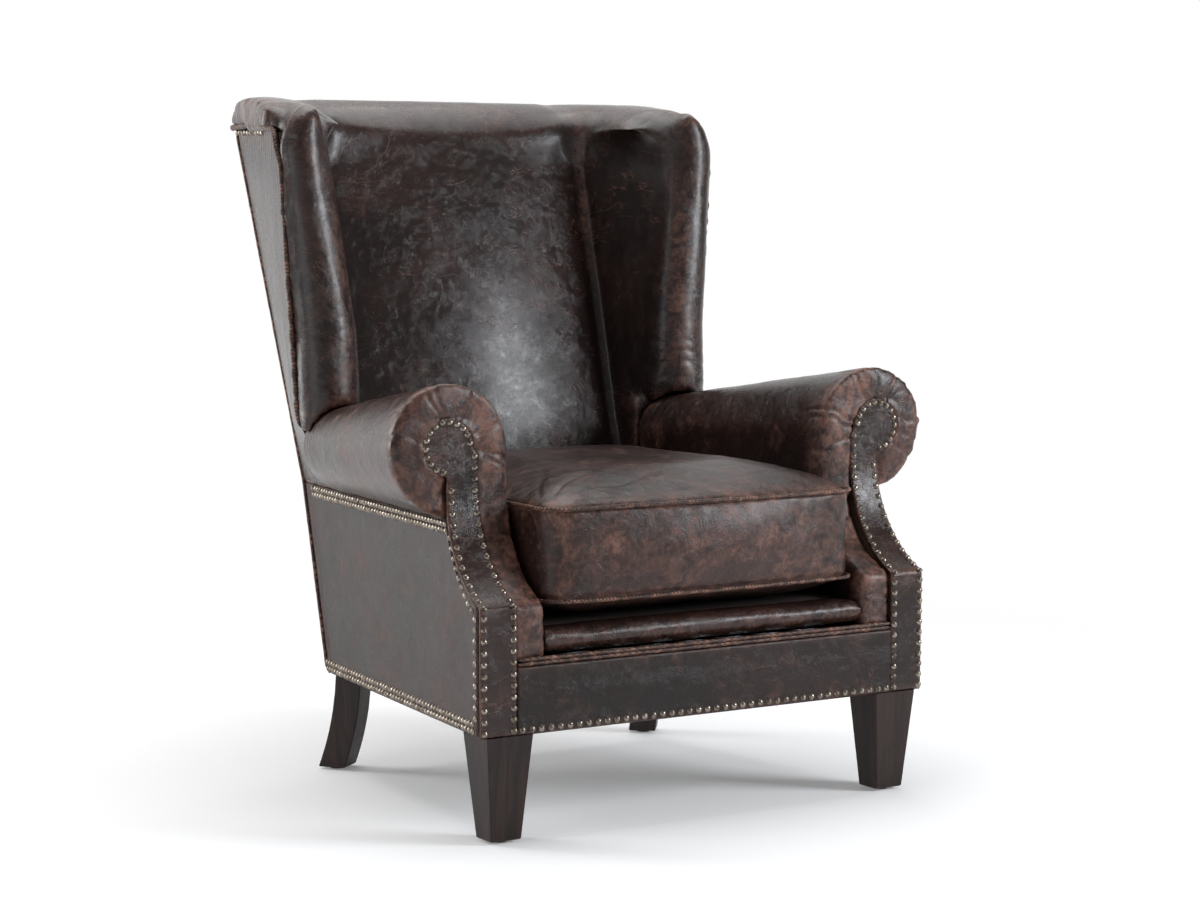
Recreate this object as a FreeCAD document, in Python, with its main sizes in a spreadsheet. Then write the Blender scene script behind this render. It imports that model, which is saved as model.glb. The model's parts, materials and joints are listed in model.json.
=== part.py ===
import FreeCAD, Part
import math
import os

import Sketcher
from FreeCAD import Placement, Rotation, Vector

# A wingback armchair with rolled arms and a loose seat cushion.
# Millimetres, +Z up. The chair faces -Y and is symmetric about x = 0.
# The origin lies on the floor, under the middle of the chair's own box.
# Left and right are as seen from the front.

os.makedirs("parts", exist_ok=True)
doc = FreeCAD.newDocument("wingback_armchair")

DIMENSIONS = {
    # Overall box
    "overall_width": 950,
    "overall_depth": 955,
    "overall_height": 1072,
    # Base
    "base_depth": 630,
    "front_overhang": 14.5,
    "side_outset": 11,
    "side_taper": 80,
    "leg_height": 157,
    "border_height": 99,
    "rail_thickness": 28,
    "front_skin": 12,
    "side_panel_thickness": 8,
    "side_panel_height": 301,
    "dust_cover_thickness": 1.5,
    "block_length": 78,
    # Legs and glides
    "front_leg_width": 76,
    "front_leg_depth": 70,
    "front_leg_taper": 13,
    "front_leg_inset": 11,
    "rear_leg_size": 44,
    "rear_leg_turn": -38,
    "rear_leg_kick_back": 36,
    "rear_leg_kick_out": 13,
    "rear_leg_inset": 31,
    "glide_height": 4,
    "glide_radius": 11,
    "leg_bolt_radius": 4,
    "leg_bolt_in_leg": 45,
    "leg_bolt_in_frame": 34,
    # Arms
    "arm_front_height": 652,
    "arm_drop": 70,
    "roll_radius": 92,
    "roll_radius_rear": 57,
    "arm_thickness_front": 110,
    "arm_thickness_rear": 60,
    "inner_pad": 50,
    "arm_rear_stop": 30,
    "arm_post_width": 36,
    "arm_post_depth": 45,
    "arm_rail_width": 50,
    "arm_rail_thickness": 24,
    "facing_width": 60,
    "facing_neck_width": 51,
    "facing_block_height": 186,
    "cove_height": 167,
    "scroll_setback": 107,
    "scroll_radius": 42,
    "pad_setback": 4,
    "fit_gap": 0.4,
    # Seat
    "lip_height": 49,
    "lip_depth": 46,
    "welt_radius": 3,
    "seat_springs": 7,
    "spring_wire_radius": 1.9,
    "spring_bend_radius": 11,
    "spring_half_width": 25,
    "cushion_gap": 0.4,
    "cushion_box": 132,
    "cushion_crown_low": 36,
    "cushion_crown_top": 42,
    "cushion_side_gap": 9,
    "cushion_cover_thickness": 3,
    "cushion_nose": 10,
    # Back and wings
    "back_half_width": 252,
    "back_panel_thickness": 6,
    "post_width": 36,
    "post_depth": 38,
    "webbing_thickness": 3,
    "webbing_width": 50,
    "crest_thickness": 38,
    "crest_overhang": 12.5,
    "crest_half_width": 320,
    "crest_side_overhang": 8,
    "crest_rail_height": 50,
    "seam_y_low": 130,
    "seam_y_top": 320,
    "back_crown": 46,
    "wing_board_thickness": 18,
    "wing_panel_thickness": 5,
    "wing_roll_y": 143,
    "wing_roll_x_top": 361,
    "wing_roll_x_low": 328,
    "wing_roll_radius_top": 42,
    "wing_roll_radius_low": 53,
    # Nails
    "nail_radius": 5.3,
    "nail_dome": 3.2,
    "nail_seat_gap": 0.3,
    "nail_pitch": 16,
    "close_nail_pitch": 11.6,
}

sheet = doc.addObject("Spreadsheet::Sheet", "Dims")
for row, (alias, number) in enumerate(DIMENSIONS.items(), start=1):
    sheet.set(f"A{row}", alias)
    sheet.set(f"B{row}", str(number))
    sheet.setAlias(f"B{row}", alias)
doc.recompute()


class Size:
    """A length written over the sheet, which binds to a property and reads as a number."""

    def __init__(self, text):
        self.text = str(text)

    def __add__(self, other):
        return Size(f"({self.text} + {text_of(other)})")

    def __radd__(self, other):
        return Size(f"({text_of(other)} + {self.text})")

    def __sub__(self, other):
        return Size(f"({self.text} - {text_of(other)})")

    def __rsub__(self, other):
        return Size(f"({text_of(other)} - {self.text})")

    def __mul__(self, other):
        return Size(f"({self.text} * {text_of(other)})")

    def __rmul__(self, other):
        return Size(f"({text_of(other)} * {self.text})")

    def __truediv__(self, other):
        return Size(f"({self.text} / {text_of(other)})")

    def __neg__(self):
        return Size(f"(0 - {self.text})")

    def __float__(self):
        return float(sheet.evalExpression(self.text.replace("Dims.", "")))


def text_of(value):
    """The expression text of a Size or of a plain number."""
    return value.text if isinstance(value, Size) else f"({value})"


def dim(alias):
    """The named driving dimension."""
    return Size(f"Dims.{alias}")


def bind(obj, path, value):
    """Tie one property to the sheet."""
    obj.setExpression(path, text_of(value))


# Shared places, each worked out from the driving dimensions.
half_depth = dim("overall_depth") / 2
leg_height = dim("leg_height")
front_y = dim("front_overhang") - half_depth
base_rear_y = front_y + dim("base_depth")
skin_y = front_y + dim("front_skin")
roll_x = dim("overall_width") / 2 - dim("roll_radius")
front_half = roll_x + dim("side_outset")
border_top = leg_height + dim("border_height")
deck_top = border_top + dim("lip_height")
side_top = leg_height + dim("side_panel_height")
crest_seam_z = dim("overall_height") - dim("crest_thickness")
crest_rear_y = half_depth - dim("crest_overhang")
arm_rear_y = base_rear_y - dim("arm_rear_stop")
arm_front_centre_z = dim("arm_front_height") - dim("roll_radius")
arm_rear_centre_z = dim("arm_front_height") - dim("arm_drop") - dim("roll_radius_rear")
frame_top = crest_seam_z - 22
facing_inner = front_half - dim("facing_width")
seat_front_half = front_half - dim("arm_thickness_front")


def side_x(y):
    """Half width of the tapered base at a depth."""
    return front_half - dim("side_taper") * (y - front_y) / dim("base_depth")


def rear_y(z):
    """The raked outside of the back at a height."""
    return base_rear_y + (crest_rear_y - base_rear_y) * (z - leg_height) / (crest_seam_z - leg_height)


def post_front_y(z):
    """The front faces of the back posts and rails at a height."""
    return rear_y(z) - dim("back_panel_thickness") - dim("post_depth")


def pad_back_y(z):
    """Where the pads end, on the webbing."""
    return post_front_y(z) - dim("webbing_thickness")


seat_rear_half = side_x(arm_rear_y) - dim("arm_thickness_rear")
side_rear_half = side_x(rear_y(side_top))
post_outer = side_rear_half - dim("side_panel_thickness")
post_inner = post_outer - dim("post_width")


def back_half(z):
    """Half width of the outside back at a height over the side panels."""
    share = (z - side_top) / (crest_seam_z - side_top)
    return side_rear_half + (dim("crest_half_width") - side_rear_half) * share


PLANES = {"xy": "XY_Plane", "xz": "XZ_Plane", "yz": "YZ_Plane"}
parts = {}


def keep(label, obj):
    """Name a finished sub-part."""
    obj.Label = label
    parts[label] = obj
    return obj


def box(name, x, y, z):
    """A block between two bounds on each axis."""
    obj = doc.addObject("Part::Box", name)
    for edge, axis, (low, high) in zip(("Length", "Width", "Height"), "xyz", (x, y, z)):
        bind(obj, edge, high - low)
        bind(obj, f".Placement.Base.{axis}", low)
    return obj


def cylinder(name, centre, radius, height):
    """An upright round bar standing on its centre."""
    obj = doc.addObject("Part::Cylinder", name)
    bind(obj, "Radius", radius)
    bind(obj, "Height", height)
    for axis, place in zip("xyz", centre):
        bind(obj, f".Placement.Base.{axis}", place)
    return obj


def outline_sketch(body, name, plane, outline, offset):
    """A closed outline of straight edges, each corner tied to the sheet."""
    sketch = body.newObject("Sketcher::SketchObject", name)
    origin_plane = [item for item in body.Origin.OriginFeatures if item.Role == PLANES[plane]][0]
    sketch.AttachmentSupport = [(origin_plane, "")]
    sketch.MapMode = "FlatFace"
    bind(sketch, ".AttachmentOffset.Base.z", offset)
    corners = [Vector(float(u), float(v), 0) for u, v in outline]
    count = len(corners)
    for index, corner in enumerate(corners):
        sketch.addGeometry(Part.LineSegment(corner, corners[(index + 1) % count]), False)
    for index in range(count):
        sketch.addConstraint(Sketcher.Constraint("Coincident", index, 2, (index + 1) % count, 1))
    for index, (u, v) in enumerate(outline):
        for kind, place in (("DistanceX", u), ("DistanceY", v)):
            value = float(place)
            ends = (-1, 1, index, 1) if value >= 0 else (index, 1, -1, 1)
            number = sketch.addConstraint(Sketcher.Constraint(kind, *ends, abs(value)))
            signed = place if value >= 0 else -place
            bind(sketch, f"Constraints[{number}]", as_size(signed))
    return sketch


def as_size(value):
    """A Size of a Size or of a plain number."""
    return value if isinstance(value, Size) else Size(f"({value})")


def prism(name, plane, outline, start, length):
    """A padded outline. Along -Y from its start on the xz plane, else along the plane's axis."""
    body = doc.addObject("PartDesign::Body", name)
    outline = [(as_size(u), as_size(v)) for u, v in outline]
    offset = -as_size(start) if plane == "xz" else as_size(start)
    sketch = outline_sketch(body, name + "_outline", plane, outline, offset)
    pad = body.newObject("PartDesign::Pad", name + "_pad")
    pad.Profile = sketch
    bind(pad, "Length", length)
    body.Tip = pad
    return body


def tapered_post(name, levels, ruled):
    """A lofted post. Each level is its height, its middle and its width and depth."""
    body = doc.addObject("PartDesign::Body", name)
    sketches = []
    for index, (height, middle, width, depth) in enumerate(levels):
        low_u, high_u = middle[0] - width / 2, middle[0] + width / 2
        low_v, high_v = middle[1] - depth / 2, middle[1] + depth / 2
        corners = [(low_u, low_v), (high_u, low_v), (high_u, high_v), (low_u, high_v)]
        sketches.append(outline_sketch(body, f"{name}_level_{index}", "xy", corners, height))
    loft = body.newObject("PartDesign::AdditiveLoft", name + "_loft")
    loft.Profile = sketches[0]
    loft.Sections = sketches[1:]
    loft.Ruled = ruled
    body.Tip = loft
    return body


def feature(name, shape):
    """A soft or bent form whose shape is set here from the sheet's values."""
    obj = doc.addObject("Part::Feature", name)
    obj.Shape = shape
    return obj


def joined(name, items):
    """Several forms as one."""
    obj = doc.addObject("Part::MultiFuse", name)
    obj.Shapes = items
    return obj


def shared(name, first, second):
    """What two forms have in common."""
    obj = doc.addObject("Part::Common", name)
    obj.Base = first
    obj.Tool = second
    return obj


def carved(name, base, tools):
    """A form with the room taken out for what it wraps or rests on."""
    for index, tool in enumerate(tools):
        obj = doc.addObject("Part::Cut", f"{name}_{index}")
        obj.Base = base
        obj.Tool = tool
        base = obj
    return base


def mirrored(name, source):
    """The same form on the other side of x = 0."""
    obj = doc.addObject("Part::Mirroring", name)
    obj.Source = source
    obj.Normal = Vector(1, 0, 0)
    obj.Base = Vector(0, 0, 0)
    return obj


def keep_pair(label, right):
    """Name the right-hand form and its mirror image."""
    keep(f"{label}_right", right)
    left = keep(f"{label}_left", mirrored(f"{label}_left", right))
    return [right, left]


def group(name, items):
    """Like pieces that share one node."""
    obj = doc.addObject("Part::Compound", name)
    obj.Links = items
    return obj


def line(start, end):
    return Part.makeLine(Vector(*start), Vector(*end))


def arc(start, middle, end):
    return Part.Arc(Vector(*start), Vector(*middle), Vector(*end)).toShape()


def closed_face(edges):
    return Part.Face(Part.Wire(edges))


def polygon(points):
    return Part.makePolygon([Vector(*point) for point in points] + [Vector(*points[0])])


def front_curve(offset, x, top):
    """The arm front from the leg up, set back by an offset: a block, a cove and an upright neck."""
    setback = float(dim("scroll_setback"))
    rise = float(dim("cove_height"))
    radius = (rise ** 2 + setback ** 2) / (2 * setback)
    face = float(front_y) + offset
    neck = face + setback
    centre_y = float(front_y) + setback - radius
    centre_z = float(leg_height + dim("facing_block_height")) + rise
    reach = radius + offset
    kink_z = centre_z - math.sqrt(reach ** 2 - (face - centre_y) ** 2)
    turn = 0.5 * math.asin((centre_z - kink_z) / reach)
    middle = (x, centre_y + reach * math.cos(turn), centre_z - reach * math.sin(turn))
    low = (x, face, float(leg_height))
    kink = (x, face, kink_z)
    cove_end = (x, neck, centre_z)
    high = (x, neck, top)
    return [line(low, kink), arc(kink, middle, cove_end), line(cove_end, high)]


def front_layer(near, far, x_low, x_high, top):
    """The layer of the arm front between two set-backs, from one x to another."""
    first = front_curve(near, x_low, top)
    second = front_curve(far, x_low, top)
    low = line(first[0].Vertexes[0].Point, second[0].Vertexes[0].Point)
    high = line(first[-1].Vertexes[-1].Point, second[-1].Vertexes[-1].Point)
    wire = Part.Wire(Part.__sortEdges__(first + second + [low, high]))
    return Part.Face(wire).extrude(Vector(x_high - x_low, 0, 0))


def front_room(offset, top):
    """All the room in front of the arm front's curve, over the whole right-hand side."""
    curve = front_curve(offset, 0, top)
    low, high = curve[0].Vertexes[0].Point, curve[-1].Vertexes[-1].Point
    ahead = -1000
    border = [
        line(low, (0, ahead, low.z)),
        line((0, ahead, low.z), (0, ahead, high.z)),
        line((0, ahead, high.z), high),
    ]
    wire = Part.Wire(Part.__sortEdges__(curve + border))
    return Part.Face(wire).extrude(Vector(float(dim("overall_width")), 0, 0))


def front_height_y(z):
    """How far back the arm front lies at a height, as a number."""
    setback = float(dim("scroll_setback"))
    rise = float(dim("cove_height"))
    radius = (rise ** 2 + setback ** 2) / (2 * setback)
    block_top = float(leg_height + dim("facing_block_height"))
    if z <= block_top:
        return float(front_y)
    if z >= block_top + rise:
        return float(front_y) + setback
    drop = block_top + rise - z
    return float(front_y) + setback - radius + math.sqrt(radius ** 2 - drop ** 2)


# Base frame: two straight rails, two tapered ones and four glued blocks.
back_rail_front = post_front_y(leg_height) + 5
front_rail = box(
    "front_rail_block",
    (facing_inner * -1 - 6, facing_inner + 6),
    (skin_y, skin_y + dim("rail_thickness")),
    (leg_height, border_top),
)
back_rail = box(
    "back_rail_block",
    (-post_inner, post_inner),
    (back_rail_front, back_rail_front + dim("rail_thickness")),
    (leg_height, border_top),
)
keep("front_rail", front_rail)
keep("back_rail", back_rail)


def raked_outline(low_z, high_z):
    """The side view of a post or rail of the back, between two heights."""
    return [
        (post_front_y(low_z), low_z),
        (post_front_y(low_z) + dim("post_depth"), low_z),
        (post_front_y(high_z) + dim("post_depth"), high_z),
        (post_front_y(high_z), high_z),
    ]


back_post_body = prism("back_post_body", "yz", raked_outline(leg_height, frame_top), post_inner, dim("post_width"))

post_low_x = facing_inner + 6
post_high_x = post_low_x + dim("arm_post_width")
arm_post_top = dim("arm_front_height") - dim("roll_radius") + 30
arm_post_shape = front_layer(
    float(dim("front_skin") + dim("fit_gap")),
    float(dim("front_skin") + dim("arm_post_depth")),
    float(post_low_x),
    float(post_high_x),
    float(arm_post_top),
)
arm_post_blank = feature("arm_post_blank", arm_post_shape)

rail_front_y = skin_y + dim("arm_post_depth")
rail_rear_y = base_rear_y - 6
rail_outer = dim("side_panel_thickness") + dim("fit_gap")
rail_inner = rail_outer + dim("rail_thickness")
side_rail_blank = prism(
    "side_rail_blank",
    "xy",
    [
        (side_x(rail_front_y) - rail_inner, rail_front_y),
        (side_x(rail_front_y) - rail_outer, rail_front_y),
        (side_x(rail_rear_y) - rail_outer, rail_rear_y),
        (side_x(rail_rear_y) - rail_inner, rail_rear_y),
    ],
    leg_height,
    dim("border_height"),
)
side_rail = carved("side_rail_cut", side_rail_blank, [back_post_body])


def bolt(name, x, y):
    """One bolt, part in the leg and part in the frame over it."""
    low = leg_height - dim("leg_bolt_in_leg")
    length = dim("leg_bolt_in_leg") + dim("leg_bolt_in_frame")
    return cylinder(name, (x, y, low), dim("leg_bolt_radius"), length)


front_bolt = bolt("front_bolt", post_low_x + dim("arm_post_width") / 2, skin_y + dim("arm_post_depth") / 2)
rear_bolt_x = post_inner + dim("post_width") / 2
rear_bolt_y = post_front_y(leg_height) + dim("post_depth") / 2 + 6
rear_bolt = bolt("rear_bolt", rear_bolt_x, rear_bolt_y)

far_y = rear_y(side_top) + 40
side_slab = prism(
    "side_slab",
    "xy",
    [
        (side_x(front_y) - dim("side_panel_thickness"), front_y),
        (side_x(front_y), front_y),
        (side_x(far_y), far_y),
        (side_x(far_y) - dim("side_panel_thickness"), far_y),
    ],
    leg_height,
    dim("side_panel_height"),
)
side_room = prism(
    "arm_side_room",
    "xy",
    [
        (side_x(front_y) - dim("side_panel_thickness") - dim("fit_gap"), front_y),
        (dim("overall_width"), front_y),
        (dim("overall_width"), far_y),
        (side_x(far_y) - dim("side_panel_thickness") - dim("fit_gap"), far_y),
    ],
    leg_height,
    dim("side_panel_height") + dim("fit_gap"),
)
arm_post = carved("arm_post_cut", arm_post_blank, [front_bolt, side_room])
back_post = carved("back_post_cut", back_post_body, [rear_bolt])
side_rails = keep_pair("side_rail", side_rail)
arm_posts = keep_pair("arm_post", arm_post)
back_posts = keep_pair("back_post", back_post)
bolts = [front_bolt, rear_bolt]
bolts += [mirrored("front_bolt_left", front_bolt), mirrored("rear_bolt_left", rear_bolt)]
keep("leg_bolts", group("leg_bolt_group", bolts))

block_low = leg_height + 8
block_high = border_top - 25
front_rail_back = skin_y + dim("rail_thickness")
block_reach_y = front_rail_back + dim("block_length")
front_block = prism(
    "front_block",
    "xy",
    [
        (post_low_x, front_rail_back),
        (post_low_x, rail_front_y),
        (side_x(rail_front_y) - rail_inner, rail_front_y),
        (side_x(block_reach_y) - rail_inner, block_reach_y),
        (post_low_x - dim("block_length"), front_rail_back),
    ],
    block_low,
    block_high - block_low,
)
rear_block_y = back_rail_front - dim("block_length")
rear_block = prism(
    "rear_block",
    "xy",
    [
        (side_x(back_rail_front) - rail_inner, back_rail_front),
        (post_inner - dim("block_length"), back_rail_front),
        (side_x(rear_block_y) - rail_inner, rear_block_y),
    ],
    block_low,
    block_high - block_low,
)
rear_block_cut = carved("rear_block_cut", rear_block, [back_post_body])
blocks = [front_block, rear_block_cut]
blocks += [mirrored("front_block_left", front_block), mirrored("rear_block_left", rear_block_cut)]
keep("corner_blocks", group("corner_block_group", blocks))

# Back frame: a crest rail and a lower rail between the posts, and webbing over their fronts.
crest_rail = prism(
    "crest_rail_body", "yz", raked_outline(frame_top - dim("crest_rail_height"), frame_top), -post_inner, post_inner * 2
)
lower_rail_z = deck_top + 4
lower_back_rail = prism(
    "lower_back_rail_body", "yz", raked_outline(lower_rail_z, lower_rail_z + 45), -post_inner, post_inner * 2
)
keep("crest_rail", crest_rail)
keep("lower_back_rail", lower_back_rail)


def webbing_band(index, low_z):
    """One level band of webbing, tacked across the fronts of the posts."""
    high_z = low_z + dim("webbing_width")
    outline = [
        (pad_back_y(low_z), low_z),
        (post_front_y(low_z), low_z),
        (post_front_y(high_z), high_z),
        (pad_back_y(high_z), high_z),
    ]
    reach = post_outer - 14
    return prism(f"webbing_band_{index}", "yz", outline, -reach, reach * 2)


upper_bands = 5
webbing_low = arm_rear_centre_z + 5
webbing_step = (frame_top - 110 - webbing_low) / (upper_bands - 1)
bands = [webbing_band(index, webbing_low + webbing_step * index) for index in range(upper_bands)]
bands.append(webbing_band(upper_bands, lower_rail_z + 75))
back_webbing = keep("back_webbing", group("back_webbing_group", bands))

# Arm rails, from the arm posts back to the back posts, dropping with the arm.
arm_rail_start = rail_front_y + dim("scroll_setback")
arm_rail_fall = (arm_front_centre_z - arm_rear_centre_z) * 1.2
arm_rail_end = post_front_y(arm_rear_centre_z - 25) + 10


def arm_rail_section(y, middle_z, width, inset):
    """An upright slice of the arm rail."""
    middle_x = float(side_x(y)) - float(dim("side_outset")) - inset
    half_width = width / 2
    half_height = float(dim("arm_rail_thickness")) / 2
    y = float(y)
    return polygon([
        (middle_x - half_width, y, middle_z - half_height),
        (middle_x + half_width, y, middle_z - half_height),
        (middle_x + half_width, y, middle_z + half_height),
        (middle_x - half_width, y, middle_z + half_height),
    ])


rail_high = float(arm_front_centre_z) - 18
rail_sections = [
    arm_rail_section(arm_rail_start, rail_high, float(dim("arm_rail_width")), 0),
    arm_rail_section(arm_rail_end, rail_high - float(arm_rail_fall), float(dim("arm_rail_width")) * 0.56, 14),
]
arm_rail_blank = feature("arm_rail_blank", Part.makeLoft(rail_sections, True, True))
arm_rail = carved("arm_rail_cut", arm_rail_blank, [back_post_body])
arm_rails = keep_pair("arm_rail", arm_rail)

# Legs, with a glide under each.
leg_x = front_half - dim("front_leg_inset") - dim("front_leg_width") / 2
leg_y = front_y + 1.5 + dim("front_leg_depth") / 2
leg_taper = dim("front_leg_taper") * 2
front_leg_blank = tapered_post(
    "front_leg_blank",
    [
        (dim("glide_height"), (leg_x, leg_y), dim("front_leg_width") - leg_taper, dim("front_leg_depth") - leg_taper),
        (leg_height, (leg_x, leg_y), dim("front_leg_width"), dim("front_leg_depth")),
    ],
    True,
)
front_leg = carved("front_leg_cut", front_leg_blank, [front_bolt])
front_legs = keep_pair("front_leg", front_leg)

rear_size = dim("rear_leg_size")
rear_leg_x = front_half - dim("side_taper") - dim("rear_leg_inset")
rear_leg_y = base_rear_y - dim("rear_leg_inset")
turn_radians = math.radians(DIMENSIONS["rear_leg_turn"])
turn_cos, turn_sin = math.cos(turn_radians), math.sin(turn_radians)
kick_out, kick_back = dim("rear_leg_kick_out"), dim("rear_leg_kick_back")
kick_x = kick_out * turn_cos + kick_back * turn_sin
kick_y = kick_back * turn_cos - kick_out * turn_sin
rear_leg_blank = tapered_post(
    "rear_leg_blank",
    [
        (dim("glide_height"), (kick_x, kick_y), rear_size + 2, rear_size + 2),
        (leg_height * 0.5, (kick_x * 0.3, kick_y * 0.3), rear_size, rear_size),
        (leg_height, (as_size(0), as_size(0)), rear_size, rear_size),
    ],
    False,
)
rear_leg_blank.Placement = Placement(Vector(0, 0, 0), Rotation(Vector(0, 0, 1), 1))
bind(rear_leg_blank, ".Placement.Base.x", rear_leg_x)
bind(rear_leg_blank, ".Placement.Base.y", rear_leg_y)
bind(rear_leg_blank, ".Placement.Rotation.Angle", dim("rear_leg_turn"))
rear_leg = carved("rear_leg_cut", rear_leg_blank, [rear_bolt])
rear_legs = keep_pair("rear_leg", rear_leg)

foot_x = rear_leg_x + kick_out
foot_y = rear_leg_y + kick_back
glides = [
    cylinder("front_glide", (leg_x, leg_y, 0), dim("glide_radius"), dim("glide_height")),
    cylinder("rear_glide", (foot_x, foot_y, 0), dim("glide_radius"), dim("glide_height")),
]
glides += [mirrored("front_glide_left", glides[0]), mirrored("rear_glide_left", glides[1])]
keep("glides", group("glide_group", glides))

# Dust cover under the rails, cut round the legs.
dust_inset = 10
dust_sheet = prism(
    "dust_sheet",
    "xy",
    [
        (dust_inset - front_half, front_y + dust_inset),
        (front_half - dust_inset, front_y + dust_inset),
        (side_x(base_rear_y) - dust_inset, base_rear_y - dust_inset),
        (dust_inset - side_x(base_rear_y), base_rear_y - dust_inset),
    ],
    leg_height - dim("dust_cover_thickness"),
    dim("dust_cover_thickness"),
)
leg_blanks = [front_leg_blank, rear_leg_blank]
leg_blanks += [mirrored("front_leg_room", front_leg_blank), mirrored("rear_leg_room", rear_leg_blank)]
keep("dust_cover", carved("dust_cover_cut", dust_sheet, leg_blanks))

# Seat springs: level serpentine wires clipped to the front and back rails.
spring_count = DIMENSIONS["seat_springs"]
spring_spread = float(seat_rear_half) * 1.6
bend = float(dim("spring_bend_radius"))
wire_radius = float(dim("spring_wire_radius"))
clip_thickness = 1.0
spring_z = float(border_top) + clip_thickness + wire_radius + 0.1
spring_start = float(skin_y + dim("rail_thickness") / 2)
spring_end = float(back_rail_front + dim("rail_thickness") / 2)


def serpentine(middle_x):
    """One spring: straight runs across, joined by half-turn bends, drawn as quarter arcs."""
    straight = float(dim("spring_half_width")) - bend
    runs = int((spring_end - spring_start) / (2 * bend))
    first_y = (spring_start + spring_end) / 2 - runs * bend
    slant = bend * math.sqrt(0.5)
    edges = []
    for index in range(runs + 1):
        y = first_y + 2 * bend * index
        side = 1 if index % 2 == 0 else -1
        start = (middle_x - side * straight, y, spring_z)
        end = (middle_x + side * straight, y, spring_z)
        edges.append(line(start, end))
        if index == runs:
            continue
        tip = (end[0] + side * bend, y + bend, spring_z)
        after = (end[0], y + 2 * bend, spring_z)
        edges.append(arc(end, (end[0] + side * slant, y + bend - slant, spring_z), tip))
        edges.append(arc(tip, (end[0] + side * slant, y + bend + slant, spring_z), after))
    path = Part.Wire(edges)
    start = edges[0].Vertexes[0].Point
    ring = Part.Wire(Part.makeCircle(wire_radius, start, edges[0].tangentAt(edges[0].FirstParameter)))
    return path.makePipeShell([ring], True, False)


spring_places = [
    spring_spread * (index / (spring_count - 1) - 0.5) for index in range(spring_count)
]
springs = Part.makeCompound([serpentine(place) for place in spring_places])
seat_springs = keep("seat_springs", feature("seat_spring_group", springs))
clip_size = 24
clips = []
for place in spring_places:
    for row_y in (spring_start, spring_end):
        corner = Vector(place - clip_size / 2, row_y - clip_size / 2, float(border_top))
        clips.append(Part.makeBox(clip_size, clip_size, clip_thickness, corner))
spring_clips = keep("spring_clips", feature("spring_clip_group", Part.makeCompound(clips)))

# Outside panels: front border, arm facings, outside arms and outside back.
front_border = box(
    "front_border_block", (-facing_inner, facing_inner), (front_y, skin_y), (leg_height, border_top)
)
keep("front_border", front_border)

scroll_z = float(arm_front_centre_z)
neck_outer = float(facing_inner + dim("facing_neck_width"))
block_top = float(leg_height + dim("facing_block_height"))
stem = closed_face(
    polygon([
        (float(facing_inner), -1000, float(leg_height)),
        (float(facing_inner), -1000, scroll_z - 12),
        (float(roll_x) - 30, -1000, scroll_z + 20),
        (float(roll_x), -1000, scroll_z),
        (neck_outer, -1000, block_top + float(dim("cove_height"))),
        (float(front_half), -1000, block_top),
        (float(front_half), -1000, float(leg_height)),
    ]).Edges
).extrude(Vector(0, 1000, 0))
disc_centre = Vector(float(roll_x), -1000, scroll_z)
disc = Part.makeCylinder(float(dim("scroll_radius")), 1000, disc_centre, Vector(0, 1, 0))
facing_front = joined("facing_front", [feature("facing_stem", stem), feature("facing_disc", disc)])
facing_slab = feature(
    "facing_slab",
    front_layer(0, float(dim("front_skin")), float(facing_inner) - 20, float(front_half) + 60, scroll_z + 80),
)
facing = shared("facing_common", facing_slab, facing_front)
facings = keep_pair("arm_facing", facing)

side_view = Part.Wire(
    Part.__sortEdges__(
        front_curve(float(dim("front_skin") + dim("fit_gap")), 0, float(side_top) + 300)
        + [
            line(
                (0, front_height_y(1e4) + float(dim("front_skin") + dim("fit_gap")), float(side_top) + 300),
                (0, float(rear_y(side_top + 300)), float(side_top) + 300),
            ),
            line(
                (0, float(rear_y(side_top + 300)), float(side_top) + 300),
                (0, float(rear_y(leg_height)), float(leg_height)),
            ),
            line(
                (0, float(rear_y(leg_height)), float(leg_height)),
                (0, float(skin_y + dim("fit_gap")), float(leg_height)),
            ),
        ]
    )
)
side_view_solid = feature("side_view", Part.Face(side_view).extrude(Vector(float(dim("overall_width")), 0, 0)))
side_blank = shared("side_blank", side_slab, side_view_solid)

back_front = prism(
    "back_front",
    "xz",
    [
        (-side_x(base_rear_y), leg_height),
        (side_x(base_rear_y), leg_height),
        (side_rear_half, side_top),
        (back_half(crest_seam_z - 8), crest_seam_z - 8),
        (-back_half(crest_seam_z - 8), crest_seam_z - 8),
        (-side_rear_half, side_top),
    ],
    half_depth * 2,
    half_depth * 2,
)
back_slab = prism(
    "back_slab",
    "yz",
    [
        (rear_y(leg_height) - dim("back_panel_thickness"), leg_height),
        (rear_y(leg_height), leg_height),
        (rear_y(crest_seam_z), crest_seam_z),
        (rear_y(crest_seam_z) - dim("back_panel_thickness"), crest_seam_z),
    ],
    -dim("overall_width") / 2,
    dim("overall_width"),
)
outside_back = shared("outside_back_common", back_slab, back_front)
keep("outside_back", outside_back)
side_panel = carved("side_panel_cut", side_blank, [outside_back])
side_panels = keep_pair("side_panel", side_panel)

# Outer wing panels and the boards behind them, twisted from the arm up to the crest.
wing_low_z = side_top + 110
wing_front_y = float(arm_rear_y)


def wing_front_x(z):
    """Half width of the outer wing at its front seam, flaring above the arm and tucked in behind it."""
    foot = float(side_x(arm_rear_y)) + 3
    low = float(dim("wing_roll_x_low") + dim("wing_roll_radius_low")) - 6
    high = float(dim("wing_roll_x_top") + dim("wing_roll_radius_top"))
    if z < float(wing_low_z):
        share = (z - float(side_top)) / (float(wing_low_z) - float(side_top))
        return foot + (low - foot) * share
    share = (z - float(wing_low_z)) / (float(crest_seam_z) - float(wing_low_z))
    return low + (high - low) * share


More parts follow.
